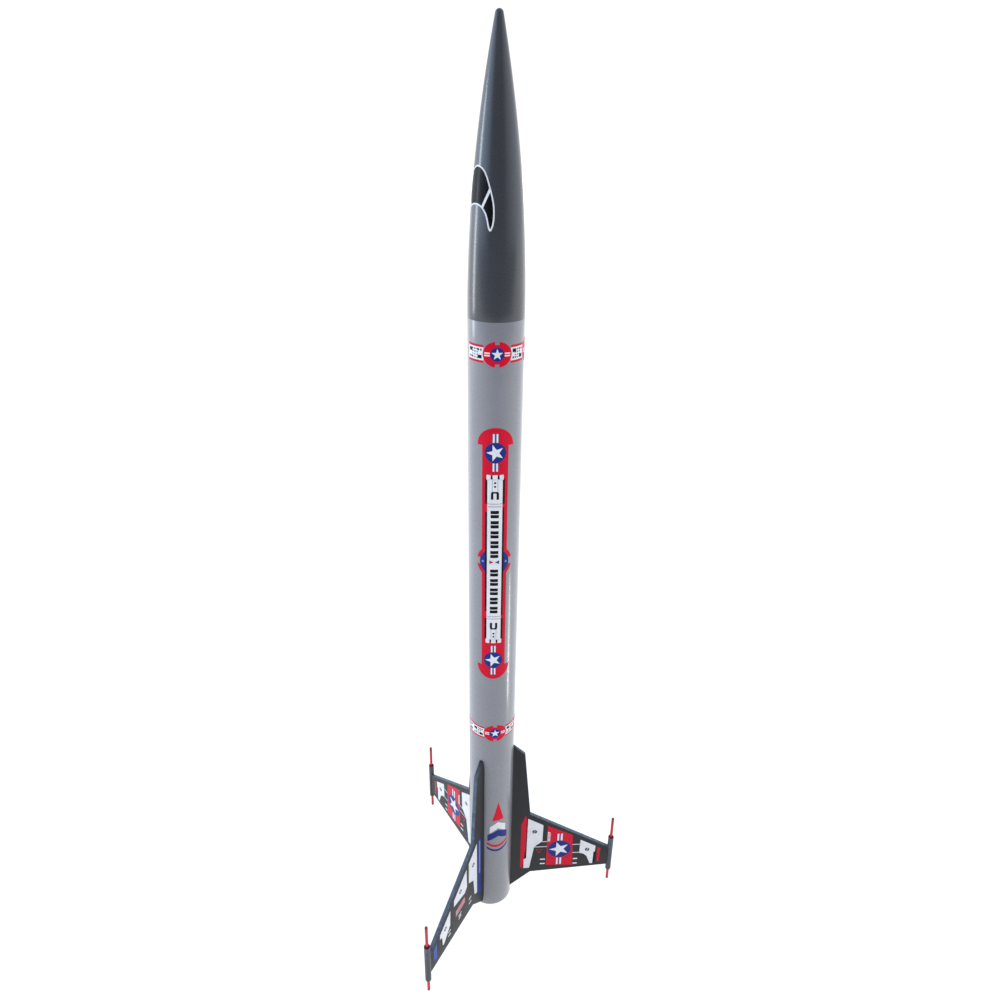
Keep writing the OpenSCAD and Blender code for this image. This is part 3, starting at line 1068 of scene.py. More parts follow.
@dataclass
class EngineMount:
    """The engine tube with its rings, block, spring hook and paper band."""

    hook_azimuth: float = 180.0
    strip: float = 0.8 * MM
    bend: float = 1.5 * MM
    lap_pitch: float = 31.0 * MM

    def build(self) -> None:
        """Builds the tube and the hook, and dresses the rings and the band."""
        low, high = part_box("motor_tube")
        outer = high.x
        inner = outer - 0.35 * MM
        tube = turned(ring_section(inner, outer, low.z, high.z, 0.1 * MM), Finish.ENGINE_PAPER, 120)
        span = high.z - low.z - 30.0 * MM
        lap = Trees.helix.run(bpy.data.meshes.new("seedbed"), Finish.ENGINE_PAPER, {
            "Radius": inner, "Height": span, "Turns": span / self.lap_pitch,
            "Width": 0.7 * MM, "Rise": 0.08 * MM,
        })
        lap.transform(Matrix.Translation((0.0, 0.0, low.z + 12.0 * MM)))
        hang(joined([tube, outward(lap)]), "engine_tube_wound", "rocket", ["motor_tube"])
        self.build_rings()
        self.build_hook()
        dress("hook_sleeve", Finish.BAND_PAPER)

    def build_rings(self) -> None:
        """Dresses the card rings and the thrust ring."""
        dress("centering_ring_forward", Finish.CARD)
        dress("centering_ring_aft", Finish.CARD)
        dress("thrust_ring", Finish.CARD)

    def build_hook(self) -> None:
        """Bends the spring strip: a tab over the engine tube, the long run and the catch below."""
        low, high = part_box("engine_hook")
        width = high.y - low.y
        reach = -high.x
        back = -low.x
        half = self.strip / 2.0
        centre = fillet([
            (reach, high.z - half), (back - half, high.z - half),
            (back - half, low.z + half), (reach, low.z + half),
        ], self.bend, False, 8)
        left, right = [], []
        for i, point in enumerate(centre):
            before = Vector(centre[max(i - 1, 0)])
            after = Vector(centre[min(i + 1, len(centre) - 1)])
            along = (after - before).normalized()
            side = Vector((-along.y, along.x)) * half
            left.append((point[0] + side.x, point[1] + side.y))
            right.append((point[0] - side.x, point[1] - side.y))
        outline = right + left[::-1]
        area = sum(a[0] * b[1] - b[0] * a[1] for a, b in zip(outline, outline[1:] + outline[:1]))
        if area < 0:
            outline.reverse()
        mesh = plate(outline, width, 0.18 * MM, Finish.STEEL)
        mesh.transform(Matrix.Rotation(math.radians(self.hook_azimuth), 4, "Z"))
        hang(mesh, "hook_spring", "hook", ["engine_hook"])


@dataclass
class Fin:
    """One flat wood fin with its strake and the glue fillets at its root and tip."""

    letter: str
    azimuth: float
    edge_round: float = 0.5 * MM
    fillet_size: float = 1.3 * MM
    corners_mm: tuple[Point2, ...] = (
        (20.5, 2.6), (20.8, 2.6), (41.5, 21.8), (122.1, 28.1), (122.1, 53.5), (39.6, 105.0), (32.4, 184.5),
        (20.8, 195.5), (20.5, 195.5),
    )

    def build(self) -> None:
        """Builds the fin and joins its glue fillets to it."""
        outline = [(x * MM, z * MM) for x, z in self.corners_mm]
        blade = plate(outline, AIRFRAME.fin_thickness, self.edge_round, Finish.FIN_CHARCOAL)
        parts = [blade]
        for side in (-1.0, 1.0):
            parts.append(self.root_fillet(side))
            parts.append(self.tip_fillet(side))
        mesh = joined(parts)
        # Mark the edge band, where the fin paint's lighter bluish edge colour paints a highlight.
        flat = 0.497 * AIRFRAME.fin_thickness
        mark_edges(mesh, lambda p: 1.0 if abs(p.y) < flat and p.x > AIRFRAME.radius else 0.0)
        mesh.transform(Matrix.Rotation(math.radians(self.azimuth), 4, "Z"))
        name = f"fin_blade_{self.letter}"
        hang(smooth(mesh, 40.0), name, "rocket", [f"fin_{self.letter}"])

    def root_fillet(self, side: float) -> bpy.types.Mesh:
        """The concave bead of glue between one face of the fin and the body tube."""
        half = AIRFRAME.fin_thickness / 2.0
        low = 4.0 * MM
        high = 194.0 * MM
        stations = []
        count = 20
        for k in range(count + 1):
            z = low + (high - low) * k / count
            taper = 0.25 if k in (0, count) else 1.0
            size = self.fillet_size * taper
            stations.append((self.bead(AIRFRAME.radius, 0.0, half, size, side, z, 1.0), k in (0, count)))
        return prism(stations, Finish.FIN_CHARCOAL)

    def tip_fillet(self, side: float) -> bpy.types.Mesh:
        """The smaller bead between one face of the fin and its pod tube."""
        half = AIRFRAME.fin_thickness / 2.0
        low = 29.5 * MM
        high = 52.0 * MM
        pod = 2.8 * MM
        stations = []
        count = 8
        for k in range(count + 1):
            z = low + (high - low) * k / count
            size = 0.7 * MM * (0.3 if k in (0, count) else 1.0)
            stations.append((self.bead(pod, AIRFRAME.pod_axis, half, size, side, z, -1.0), k in (0, count)))
        return prism(stations, Finish.FIN_CHARCOAL)

    @staticmethod
    def bead(radius: float, axis: float, half: float, size: float, side: float, z: float,
             outwards: float) -> list[Vector]:
        """Section of a bead between a fin face and a tube.

        Args:
            radius: Radius of the tube.
            axis: Distance of the tube's axis from the body axis.
            half: Half of the fin's thickness.
            size: Size of the bead along both surfaces.
            side: Which face of the fin, 1 or -1.
            z: Height of the section.
            outwards: 1 where the fin lies outside the tube, -1 where it lies between the tube and the body.

        Returns:
            The points of the section.
        """
        def on_tube(t: float, depth: float = 0.0) -> Vector:
            r = radius - depth
            return Vector((axis + outwards * math.sqrt(max(r * r - t * t, 0.0)), side * t, z))

        steps = 6
        far = min(half + size, 0.93 * radius)
        foot = on_tube(half)
        on_face = Vector((foot.x + outwards * size, side * half, z))
        on_body = on_tube(far)
        curve = []
        for k in range(steps + 1):
            t = k / steps
            curve.append(on_face * (1 - t) ** 2 + foot * 2 * t * (1 - t) + on_body * t * t)
        sunk = 0.12 * MM
        inner = [on_tube(far - 0.3 * sunk, sunk), Vector((foot.x - outwards * sunk, side * (half - sunk), z)),
                 Vector((on_face.x, side * (half - sunk), z))]
        return curve + inner


@dataclass
class TipPod:
    """A pod tube on a fin tip, with its painted dowel and inner sleeve."""

    letter: str
    azimuth: float
    wall: float = 0.35 * MM

    def build(self) -> None:
        """Builds the tube and the dowel, and dresses the sleeve."""
        angle = math.radians(self.azimuth)
        axis = (AIRFRAME.pod_axis * math.cos(angle), AIRFRAME.pod_axis * math.sin(angle), 0.0)
        low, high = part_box("pod_tube_a")
        radius = (high.y - low.y) / 2.0
        rim = 0.14 * MM
        section = ring_section(radius - self.wall, radius, low.z, high.z, rim)
        tube = turned(section, Finish.POD_CHARCOAL, 56, axis)
        # Mark the rims, where the pod paint's edge colour paints a highlight.
        mark_edges(tube, lambda p: 1.0 if min(p.z - low.z, high.z - p.z) < rim else 0.0)
        hang(tube, f"pod_shell_{self.letter}", "rocket", [f"pod_tube_{self.letter}"])
        self.build_dowel(axis)
        # The sleeve's near-black is painted shade for the gap inside the pod around the dowel.
        dress(f"pod_sleeve_{self.letter}", Finish.POD_SLEEVE_SHADE)

    def build_dowel(self, axis: Sequence[float]) -> None:
        """Turns the dowel with sanded round ends."""
        low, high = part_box("pod_dowel_a")
        radius = (high.y - low.y) / 2.0
        corners = [(0.0, low.z), (radius, low.z), (radius, high.z), (0.0, high.z)]
        profile = fillet(corners, 0.75 * radius, False, 6)
        rows = [(radius, low.z + (high.z - low.z) * k / 12.0) for k in range(1, 12)]
        half = len(profile) // 2
        mesh = turned(profile[:half] + rows + profile[half:], Finish.DOWEL_RED, 40, axis, 60.0)
        mark_edges(mesh, lambda p: 1.0 if min(p.z - low.z, high.z - p.z) < 0.5 * radius else 0.0)
        hang(mesh, f"dowel_rod_{self.letter}", "rocket", [f"pod_dowel_{self.letter}"])


@dataclass
class LaunchLug:
    """A launch rod tube, glued along the body on two beads."""

    name: str
    azimuth: float = 60.0
    bore: float = 2.55 * MM
    radius: float = 2.9 * MM

    def build(self) -> None:
        """Builds the tube and its glue beads."""
        node = f"launch_lug_{self.name}"
        low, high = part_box(node)
        axis = AIRFRAME.radius + self.radius
        section = ring_section(self.bore, self.radius, low.z, high.z, 0.12 * MM)
        parts = [turned(section, Finish.BODY_GREY, 56, (axis, 0.0, 0.0))]
        for side in (-1.0, 1.0):
            parts.append(self.bead(side, axis, low.z, high.z))
        mesh = joined(parts)
        mesh.transform(Matrix.Rotation(math.radians(self.azimuth), 4, "Z"))
        hang(smooth(mesh), f"rod_tube_{self.name}", "rocket", [node])

    def bead(self, side: float, axis: float, low: float, high: float) -> bpy.types.Mesh:
        """The bead of glue along one side of the tube."""
        count = 10
        stations = []
        for k in range(count + 1):
            ends = k in (0, count)
            z = low + (high - low) * k / count
            width = self.radius * (0.45 if ends else 0.8)
            touch = math.sqrt(self.radius ** 2 - width ** 2)
            tube = Vector((axis - touch, side * width, z))
            skin = Vector((math.sqrt(AIRFRAME.radius ** 2 - width ** 2), side * width, z))
            inner = Vector((AIRFRAME.radius, side * 0.12 * self.radius, z))
            sag = Vector((0.5 * (tube.x + skin.x), side * width * 0.86, z))
            stations.append(([tube, sag, skin, inner - Vector((0.1 * MM, 0, 0)), inner], ends))
        return prism(stations, Finish.BODY_GREY)


@dataclass
class RecoveryBay:
    """The folded parachute and the paper anchor for its line."""

    folds: float = 120.0
    depth: float = 1.7 * MM
    crinkle: float = 0.9 * MM

    def build(self) -> None:
        """Builds the bundle and dresses the anchor."""
        low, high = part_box("parachute_pack")
        radius = high.x
        corners = [(0.0, low.z), (0.86 * radius, low.z + 1.0 * MM), (radius, low.z + 9.0 * MM),
                   (radius, high.z - 9.0 * MM), (0.80 * radius, high.z - 1.2 * MM), (0.0, high.z - 2.5 * MM)]
        outline = fillet(corners, 6.0 * MM, False, 8)
        profile: list[Point2] = []
        for a, b in zip(outline, outline[1:]):
            count = max(1, int(math.dist(a, b) / (0.7 * MM)))
            profile.extend((a[0] + (b[0] - a[0]) * k / count, a[1] + (b[1] - a[1]) * k / count)
                           for k in range(count))
        profile.append(outline[-1])
        bundle = turned(profile, Finish.CANOPY, 150)
        mesh = Trees.fold.run(bundle, Finish.CANOPY, {
            "Depth": self.depth, "Crinkle": self.crinkle, "Folds": self.folds, "Twist": 1.6, "Seed": float(SEED),
        })
        piece = hang(smooth(mesh, 80.0), "parachute_bundle", "recovery", ["parachute_pack"])
        dress("shock_cord_mount", Finish.BAND_PAPER)


# ---------------------------------------------------------------- decals

@dataclass(frozen=True)
class Patch:
    """One printed shape of a decal, in the flat."""

    outline: Sequence[Point2]
    ink: Finish
    layer: int = 0
    keep: tuple[tuple[Point2, Point2], ...] = ()


class Surface:
    """A surface that a decal is laid on. Its flat coordinates are millimetres."""

    across: float = 0.0
    along: float = 0.0

    def place(self, u: float, v: float, rise: float) -> Vector:
        """The point of the flat position u, v, lifted off the surface by rise in metres."""
        raise NotImplementedError

    def normal(self, u: float, v: float) -> Vector:
        """The outward direction at the flat position u, v."""
        raise NotImplementedError


@dataclass
class TubeFace(Surface):
    """The outside of the body tube, unrolled around an azimuth and a height."""

    azimuth: float
    height_mm: float
    across: float = 0.75

    def place(self, u: float, v: float, rise: float) -> Vector:
        """The point on the tube."""
        return self.normal(u, v) * (AIRFRAME.radius + rise) + Vector((0.0, 0.0, (self.height_mm + v) * MM))

    def normal(self, u: float, v: float) -> Vector:
        """The outward direction."""
        angle = math.radians(self.azimuth) + u * MM / AIRFRAME.radius
        return Vector((math.cos(angle), math.sin(angle), 0.0))


@dataclass
class NoseFace(Surface):
    """The outside of the nose cone, with u measured round it at a reference radius."""

    azimuth: float
    reference_mm: float
    across: float = 0.7
    along: float = 4.0

    def place(self, u: float, v: float, rise: float) -> Vector:
        """The point on the nose."""
        angle = math.radians(self.azimuth) + u / self.reference_mm
        radius = AIRFRAME.nose_radius(v * MM)
        base = Vector((radius * math.cos(angle), radius * math.sin(angle), v * MM))
        return base + self.normal(u, v) * rise

    def normal(self, u: float, v: float) -> Vector:
        """The outward direction."""
        angle = math.radians(self.azimuth) + u / self.reference_mm
        slope = AIRFRAME.nose_slope(v * MM)
        return Vector((math.cos(slope) * math.cos(angle), math.cos(slope) * math.sin(angle), math.sin(slope)))


@dataclass
class FinFace(Surface):
    """One face of a fin, with u the distance from the body axis and v the height."""

    azimuth: float
    side: float

    def place(self, u: float, v: float, rise: float) -> Vector:
        """The point on the fin."""
        angle = math.radians(self.azimuth)
        out = Vector((math.cos(angle), math.sin(angle), 0.0))
        return out * (u * MM) + Vector((0, 0, v * MM)) + self.normal(u, v) * (AIRFRAME.fin_thickness / 2 + rise)

    def normal(self, u: float, v: float) -> Vector:
        """The outward direction."""
        angle = math.radians(self.azimuth)
        return Vector((-math.sin(angle), math.cos(angle), 0.0)) * self.side


class Film:
    """A thin decal film: printed patches in layers, cut, laid on a surface and given a thickness."""

    base_rise = 0.02 * MM
    layer_rise = 0.035 * MM

    def __init__(self, surface: Surface) -> None:
        """Starts an empty film for a surface."""
        self.surface = surface
        self.patches: list[Patch] = []
        self.flats: list[tuple[bpy.types.Mesh, Finish, int]] = []

    def add(self, ink: Finish, layer: int, *outlines: Sequence[Point2],
            keep: tuple[tuple[Point2, Point2], ...] = ()) -> None:
        """Adds patches of one ink on one layer.

        Args:
            ink: The finish that they are printed in.
            layer: How many layers lie below them.
            outlines: Their outlines, in flat millimetres.
            keep: Lines, each a point and a direction that points away from the side to cut off.
        """
        for outline in outlines:
            self.patches.append(Patch(outline, ink, layer, keep))

    def add_row(self, ink: Finish, layer: int, outline: Sequence[Point2], start: Point2, count: int, pitch: float,
                narrowest: float = 1.0, seed: int = SEED) -> None:
        """Adds a row of equal marks that runs up from start.

        Args:
            ink: The finish that they are printed in.
            layer: How many layers lie below them.
            outline: One mark, around its own middle.
            start: Flat position of the first mark.
            count: Number of marks.
            pitch: Distance between two marks.
            narrowest: The smallest share of its width that a mark may be drawn to.
            seed: Seed of that draw.
        """
        flat = bpy.data.meshes.new("mark")
        flat.from_pydata([(x, y, 0.0) for x, y in outline], [], [list(range(len(outline)))])
        row = Trees.row.run(flat, ink, {"Count": count, "Pitch": pitch, "Narrowest": narrowest, "Seed": seed})
        row.transform(Matrix.Translation((start[0], start[1], 0.0)))
        self.flats.append((row, ink, layer))

    def cut(self, work: bmesh.types.BMesh) -> None:
        """Cuts a flat mesh into strips that can follow the surface's curve."""
        for axis, step in ((0, self.surface.across), (1, self.surface.along)):
            if step <= 0.0 or not work.verts:
                continue
            values = [v.co[axis] for v in work.verts]
            normal = Vector((0.0, 0.0, 0.0))
            normal[axis] = 1.0
            for k in range(math.ceil(min(values) / step), math.floor(max(values) / step) + 1):
                geometry = work.verts[:] + work.edges[:] + work.faces[:]
                bmesh.ops.bisect_plane(work, geom=geometry, dist=1e-5, plane_co=normal * (k * step), plane_no=normal)

    def flat_mesh(self, patch: Patch) -> bmesh.types.BMesh:
        """The flat mesh of one patch, cut along its keep lines."""
        work = bmesh.new()
        work.faces.new([work.verts.new((x, y, 0.0)) for x, y in patch.outline])
        work.normal_update()
        bmesh.ops.triangulate(work, faces=work.faces[:])
        for point, direction in patch.keep:
            geometry = work.verts[:] + work.edges[:] + work.faces[:]
            bmesh.ops.bisect_plane(work, geom=geometry, dist=1e-5, plane_co=(point[0], point[1], 0.0),
                                   plane_no=(direction[0], direction[1], 0.0), clear_inner=True)
        return work

    def lay(self, work: bmesh.types.BMesh, ink: Finish, layer: int) -> bpy.types.Mesh:
        """Lays one flat mesh on the surface and gives it its thickness.

        Args:
            work: The flat mesh, which is used up.
            ink: Its finish.
            layer: How many layers lie below it.

        Returns:
            The closed mesh of that patch, with exact normals on its face.
        """
        self.cut(work)
        work.normal_update()
        bmesh.ops.triangulate(work, faces=work.faces[:])
        work.normal_update()
        for face in work.faces:
            if face.normal.z < 0.0:
                face.normal_flip()
        bottom = self.base_rise if layer == 0 else self.base_rise + (layer - 0.5) * self.layer_rise
        top = self.base_rise + (layer + 1) * self.layer_rise
        raised = bmesh.ops.extrude_face_region(work, geom=work.faces[:])["geom"]
        for item in raised:
            if isinstance(item, bmesh.types.BMVert):
                item.co.z = 1.0
        bmesh.ops.recalc_face_normals(work, faces=work.faces[:])
        work.verts.index_update()
        flats = {v: v.co.copy() for v in work.verts}
        normals = {v.index: (flat.z > 0.5, self.surface.normal(flat.x, flat.y)) for v, flat in flats.items()}
        for vertex, flat in flats.items():
            vertex.co = self.surface.place(flat.x, flat.y, top if flat.z > 0.5 else bottom)
        work.normal_update()
        facing = sum(f.normal.dot(normals[f.verts[0].index][1]) for f in work.faces
                     if all(normals[v.index][0] for v in f.verts))
        if facing < 0.0:
            bmesh.ops.reverse_faces(work, faces=work.faces[:])
        mesh = bpy.data.meshes.new("film")
        work.to_mesh(mesh)
        work.free()
        mesh.materials.append(Paints.get(ink))
        self.set_normals(mesh, normals)
        return mesh

    @staticmethod
    def set_normals(mesh: bpy.types.Mesh, normals: dict[int, tuple[bool, Vector]]) -> None:
        """Shades the top faces with the surface's own normals, and the rest flat."""
        mesh.shade_smooth()
        loops: list[Vector] = [Vector((0.0, 0.0, 1.0))] * len(mesh.loops)
        for face in mesh.polygons:
            on_top = all(normals[v][0] for v in face.vertices)
            for loop in face.loop_indices:
                vertex = mesh.loops[loop].vertex_index
                loops[loop] = normals[vertex][1] if on_top else face.normal.copy()
        mesh.normals_split_custom_set(loops)

    def meshes(self) -> list[bpy.types.Mesh]:
        """The laid patches, one mesh each."""
        laid = [self.lay(self.flat_mesh(patch), patch.ink, patch.layer) for patch in self.patches]
        for flat, ink, layer in self.flats:
            work = bmesh.new()
            work.from_mesh(flat)
            laid.append(self.lay(work, ink, layer))
        return laid


def join_films(meshes: Sequence[bpy.types.Mesh], name: str) -> bpy.types.Mesh:
    """Joins laid patches into one mesh that keeps their exact normals.

    Args:
        meshes: The laid patches.
        name: Name of the joined mesh.

    Returns:
        The joined mesh.
    """
    pieces = []
    for mesh in meshes:
        piece = bpy.data.objects.new("patch", mesh)
        bpy.context.scene.collection.objects.link(piece)
        pieces.append(piece)
    with bpy.context.temp_override(active_object=pieces[0], selected_editable_objects=pieces):
        bpy.ops.object.join()
    result = pieces[0].data
    result.name = name
    bpy.data.objects.remove(pieces[0])
    return result


@dataclass
class WrapBand:
    """A printed band round the tube: three star roundels on a striped white strip that ends at a seam."""

    name: str
    azimuth: float
    height_mm: float
    seam_deg: float
    half_width: float = 10.7
    half_height: float = 9.3
    blue: float = 5.1
    star_radius: float = 4.3
    strip_half: float = 6.4
    line: float = 1.7
    tuck: float = 0.6
    seam_gap: float = 9.0
    block: float = 13.0
    roundels: int = 3
    pitch: float = QUARTER

    def roundel_film(self) -> Film:
        """One roundel: a notched red disc, a blue disc with a star and two pairs of white lines."""
        film = Film(TubeFace(self.azimuth, self.height_mm))
        film.add(Finish.INK_RED, 1, *self.roundel_halves())
        film.add(Finish.INK_BLUE, 2, disc((0.0, 0.0), self.blue))
        film.add(Finish.INK_WHITE, 3, star((0.0, 0.0), self.star_radius, 90.0))
        for side in (-1.0, 1.0):
            near, far = sorted((side * (self.blue + 0.2), side * (self.blue + 4.4)))
            for level in (-0.85, 0.85):
                film.add(Finish.INK_WHITE, 2, rect(near, level - 0.5, far, level + 0.5))
        return film

    def roundel_halves(self) -> list[list[Point2]]:
        """The red disc in two halves, notched at the top and the bottom."""
        notch = 1.6
        depth = 2.4
        floor = self.half_height - depth
        halves = []
        for side in (-1.0, 1.0):
            limit = math.asin(notch / self.half_width)
            arc = [
                (side * self.half_width * math.cos(a), self.half_height * math.sin(a))
                for a in (-QUARTER + limit + (2 * QUARTER - 2 * limit) * k / 32 for k in range(33))
            ]
            halves.append(arc + [(side * notch, floor), (0.0, floor), (0.0, -floor), (side * notch, -floor)])
        return halves

    def strip_film(self, start: float, end: float) -> Film:
        """A stretch of the white strip between its two red lines.

        Args:
            start: Where it starts, along the tube's girth.
            end: Where it ends.

        Returns:
            Its film, with blocks of service marks.
        """
        film = Film(TubeFace(self.azimuth, self.height_mm))
        half = self.strip_half
        film.add(Finish.INK_RED, 0, rect(start, half - self.line, end, half), rect(start, -half, end, self.line - half))
        film.add(Finish.INK_WHITE, 0, rect(start, self.line - half, end, half - self.line))
        blocks = max(1, round((end - start) / self.block))
        width = (end - start) / blocks
        for k in range(blocks):
            self.add_marks(film, start + k * width + 1.4, start + (k + 1) * width - 1.4)
        return film

    def add_marks(self, film: Film, start: float, end: float) -> None:
        """A block of small black service marks in the white strip."""
        middle = 0.5 * (start + end)
        for edge, sign in ((start, 1.0), (end, -1.0)):
            near, far = sorted((edge, edge + sign * 3.3))
            low, high = sorted((sign * 1.0, sign * 3.5))
            film.add(Finish.INK_BLACK, 1, rect(near, low, far, high))
            low, high = sorted((-sign * 3.5, -sign * 2.1))
            film.add(Finish.INK_BLACK, 1, rect(near, low, near + 1.2, high), rect(far - 1.2, low, far, high))
        for column in (-2.2, 0.0, 2.2):
            film.add_row(Finish.INK_BLACK, 1, rect(-0.6, -0.5, 0.6, 0.5), (middle + column, -3.0), 4, 2.0, 0.5)

    def repeated(self, film: Film, count: int) -> list[bpy.types.Mesh]:
        """The patches of one film, repeated round the tube."""
        rounds = []
        for mesh in film.meshes():
            finish = next(f for f, m in Paints.made.items() if m == mesh.materials[0])
            rounds.append(Trees.ring.run(mesh, finish, {"Count": count, "Pitch": self.pitch}))
        return rounds

    def build(self) -> None:
        """Prints the roundels, the strips between them and the two strips to the seam, and hangs the band."""
        girth = TAU * AIRFRAME.radius / MM
        step = self.pitch / TAU * girth
        seam = self.seam_deg / 360.0 * girth
        inner = self.half_width - self.tuck
        last = (self.roundels - 1) * step
        pieces = self.repeated(self.roundel_film(), self.roundels)
        pieces += self.repeated(self.strip_film(inner, step - inner), self.roundels - 1)
        pieces += self.strip_film(-seam, -inner).meshes()
        pieces += self.strip_film(last + inner, girth - seam - self.seam_gap).meshes()
        hang(join_films(pieces, self.name), self.name, "rocket")


@dataclass
class SidePanel:
    """The long printed panel on the front of the tube: two star ends, a round middle and a white spine."""

    azimuth: float = -92.0
    height_mm: float = 407.5
    half_width: float = 10.2
    dome: float = 14.3
    dome_at: float = 101.1
    disc_at: float = 95.5
    disc_radius: float = 8.2
    star_radius: float = 7.0
    middle_at: float = 1.4
    spine_half: float = 5.9

    def build(self) -> None:
        """Prints the panel in layers and lays it on the tube."""
        film = Film(TubeFace(self.azimuth, self.height_mm))
        film.add(Finish.INK_RED, 0, rect(-self.half_width, -self.dome_at, self.half_width, self.dome_at))
        for sign in (-1.0, 1.0):
            self.add_end(film, sign)
            self.add_clamp(film, sign)
        self.add_middle(film)
        self.add_spine(film)
        hang(join_films(film.meshes(), "side_panel"), "side_panel", "rocket")

    def add_end(self, film: Film, sign: float) -> None:
        """A domed end with its star disc and the twin stripes above and below it."""
        film.add(Finish.INK_RED, 1, half_disc((0.0, sign * self.dome_at), self.dome, sign > 0))
        middle = (0.0, sign * self.disc_at)
        for near, far in ((8.3, 15.2), (-15.0, -8.3)):
            low, high = sorted((sign * (self.disc_at + near), sign * (self.disc_at + far)))
            for side in (-1.35, 1.35):
                film.add(Finish.INK_BLUE, 2, rect(side - 1.05, low - 0.3, side + 1.05, high + 0.3))
                film.add(Finish.INK_WHITE, 3, rect(side - 0.68, low, side + 0.68, high))
        film.add(Finish.INK_BLUE, 2, disc(middle, self.disc_radius))
        film.add(Finish.INK_WHITE, 3, star(middle, self.star_radius, 180.0))

    def add_clamp(self, film: Film, sign: float) -> None:
        """The clamp at one end of the spine: three studs, a body with a slot, and its cross lines."""
        def up(low: float, high: float) -> tuple[float, float]:
            """The two heights mirrored to this end, lowest first."""
            ends = sorted((sign * low, sign * high))
            return ends[0], ends[1]

        def bar(half: float, low: float, high: float, centre: float = 0.0) -> list[Point2]:
            """A rectangle across the spine at this end."""
            bottom, top = up(low, high)
            return rect(centre - half, bottom, centre + half, top)

        film.add(Finish.INK_BLACK, 2, bar(7.7, 53.0, 74.2), bar(6.6, 73.0, 76.8))
        film.add(Finish.INK_WHITE, 3, bar(5.9, 50.5, 74.0))
        for centre, half in ((-5.0, 1.6), (0.0, 1.9), (5.0, 1.6)):
            film.add(Finish.INK_WHITE, 3, bar(half, 73.4, 77.6, centre))
        film.add(Finish.INK_GREY, 4, bar(0.22, 63.8, 74.0, -2.1), bar(0.22, 63.8, 74.0, 2.1))
        film.add(Finish.INK_BLACK, 4, disc((0.0, sign * 71.0), 0.85, 14), disc((0.0, sign * 67.9), 0.85, 14))
        film.add(Finish.INK_BLACK, 4, bar(0.95, 57.0, 62.4, -2.15), bar(0.95, 57.0, 62.4, 2.15), bar(2.7, 62.2, 63.6))
        film.add(Finish.INK_GREY, 4, bar(5.9, 52.9, 53.5), bar(5.2, 50.6, 51.2))

    def add_middle(self, film: Film) -> None:
        """The round middle: red arcs above and below, a gap between them and a blue disc."""
        rim = 14.8
        gap = 3.0
        for sign in (-1.0, 1.0):
            limit = math.asin(gap / rim)
            arc = [
                (rim * math.cos(a), self.middle_at + sign * rim * math.sin(a))
                for a in (limit + (math.pi - 2 * limit) * k / 28 for k in range(29))
            ]
            film.add(Finish.INK_RED, 1, arc)
        film.add(Finish.INK_BLUE, 2, disc((0.0, self.middle_at), 12.0))
        film.add(Finish.INK_SKY, 3, star((-9.4, self.middle_at), 1.5, 180.0),
                 star((9.4, self.middle_at), 1.5, 180.0))

    def add_spine(self, film: Film) -> None:
        """The white spine with black edges, and rows of plain blocks along it."""
        length = 50.4
        film.add(Finish.INK_BLACK, 3, rect(-7.5, -46.0, -5.4, 46.0), rect(5.4, -50.0, 7.4, 50.0))
        film.add(Finish.INK_WHITE, 4, rect(-self.spine_half, -length, self.spine_half, length))
        bar = fillet(rect(-3.2, -1.4, 3.2, 1.4), 0.4, True, 3)
        for first in (8.6, -44.2):
            for level in (-1.8, 1.8):
                film.add_row(Finish.INK_BLACK, 5, bar, (0.0, first + level), 5, 8.9)
        film.add(Finish.INK_RED, 5, [(-3.9, self.middle_at - 1.7), (-0.5, self.middle_at), (-3.9, self.middle_at + 1.7)])
        film.add(Finish.INK_BLUE, 5, [(3.9, self.middle_at + 1.7), (0.5, self.middle_at), (3.9, self.middle_at - 1.7)])


@dataclass
class TailMark:
    """A plain stack of chevrons over two curved stripes, between two fins."""

    azimuth: float = -73.5
    height_mm: float = 77.0

    def chevron(self, foot: float, half: float, rise: float, depth: float) -> list[Point2]:
        """An upward chevron.

        Args:
            foot: Height of its feet.
            half: Half of its width.
            rise: How far its apex stands above its feet, outside.
            depth: Height of its arms.

        Returns:
            Its outline.
        """
        return [(-half, foot), (0.0, foot + rise), (half, foot), (half, foot + depth),
                (0.0, foot + rise + depth), (-half, foot + depth)]

    def build(self) -> None:
        """Prints the mark and lays it on the tube."""
        film = Film(TubeFace(self.azimuth, self.height_mm))
        film.add(Finish.INK_RED, 0, [(-6.0, 42.5), (6.0, 42.5), (0.0, 66.4)])
        film.add(Finish.INK_WHITE, 0, self.chevron(25.8, 8.2, 6.0, 8.4))
        film.add(Finish.INK_BLUE, 0, self.chevron(15.0, 10.4, 6.0, 8.6))
        for level, depth, ink in ((11.0, 3.0, Finish.INK_RED), (5.0, 2.6, Finish.INK_BLUE)):
            bow = [(x, level - 4.8 * (1 - (x / 11.0) ** 2)) for x in (-11.0 + 22.0 * k / 20 for k in range(21))]
            film.add(ink, 0, bow + [(x, y + depth) for x, y in bow[::-1]])
        hang(join_films(film.meshes(), "tail_mark"), "tail_mark", "rocket")


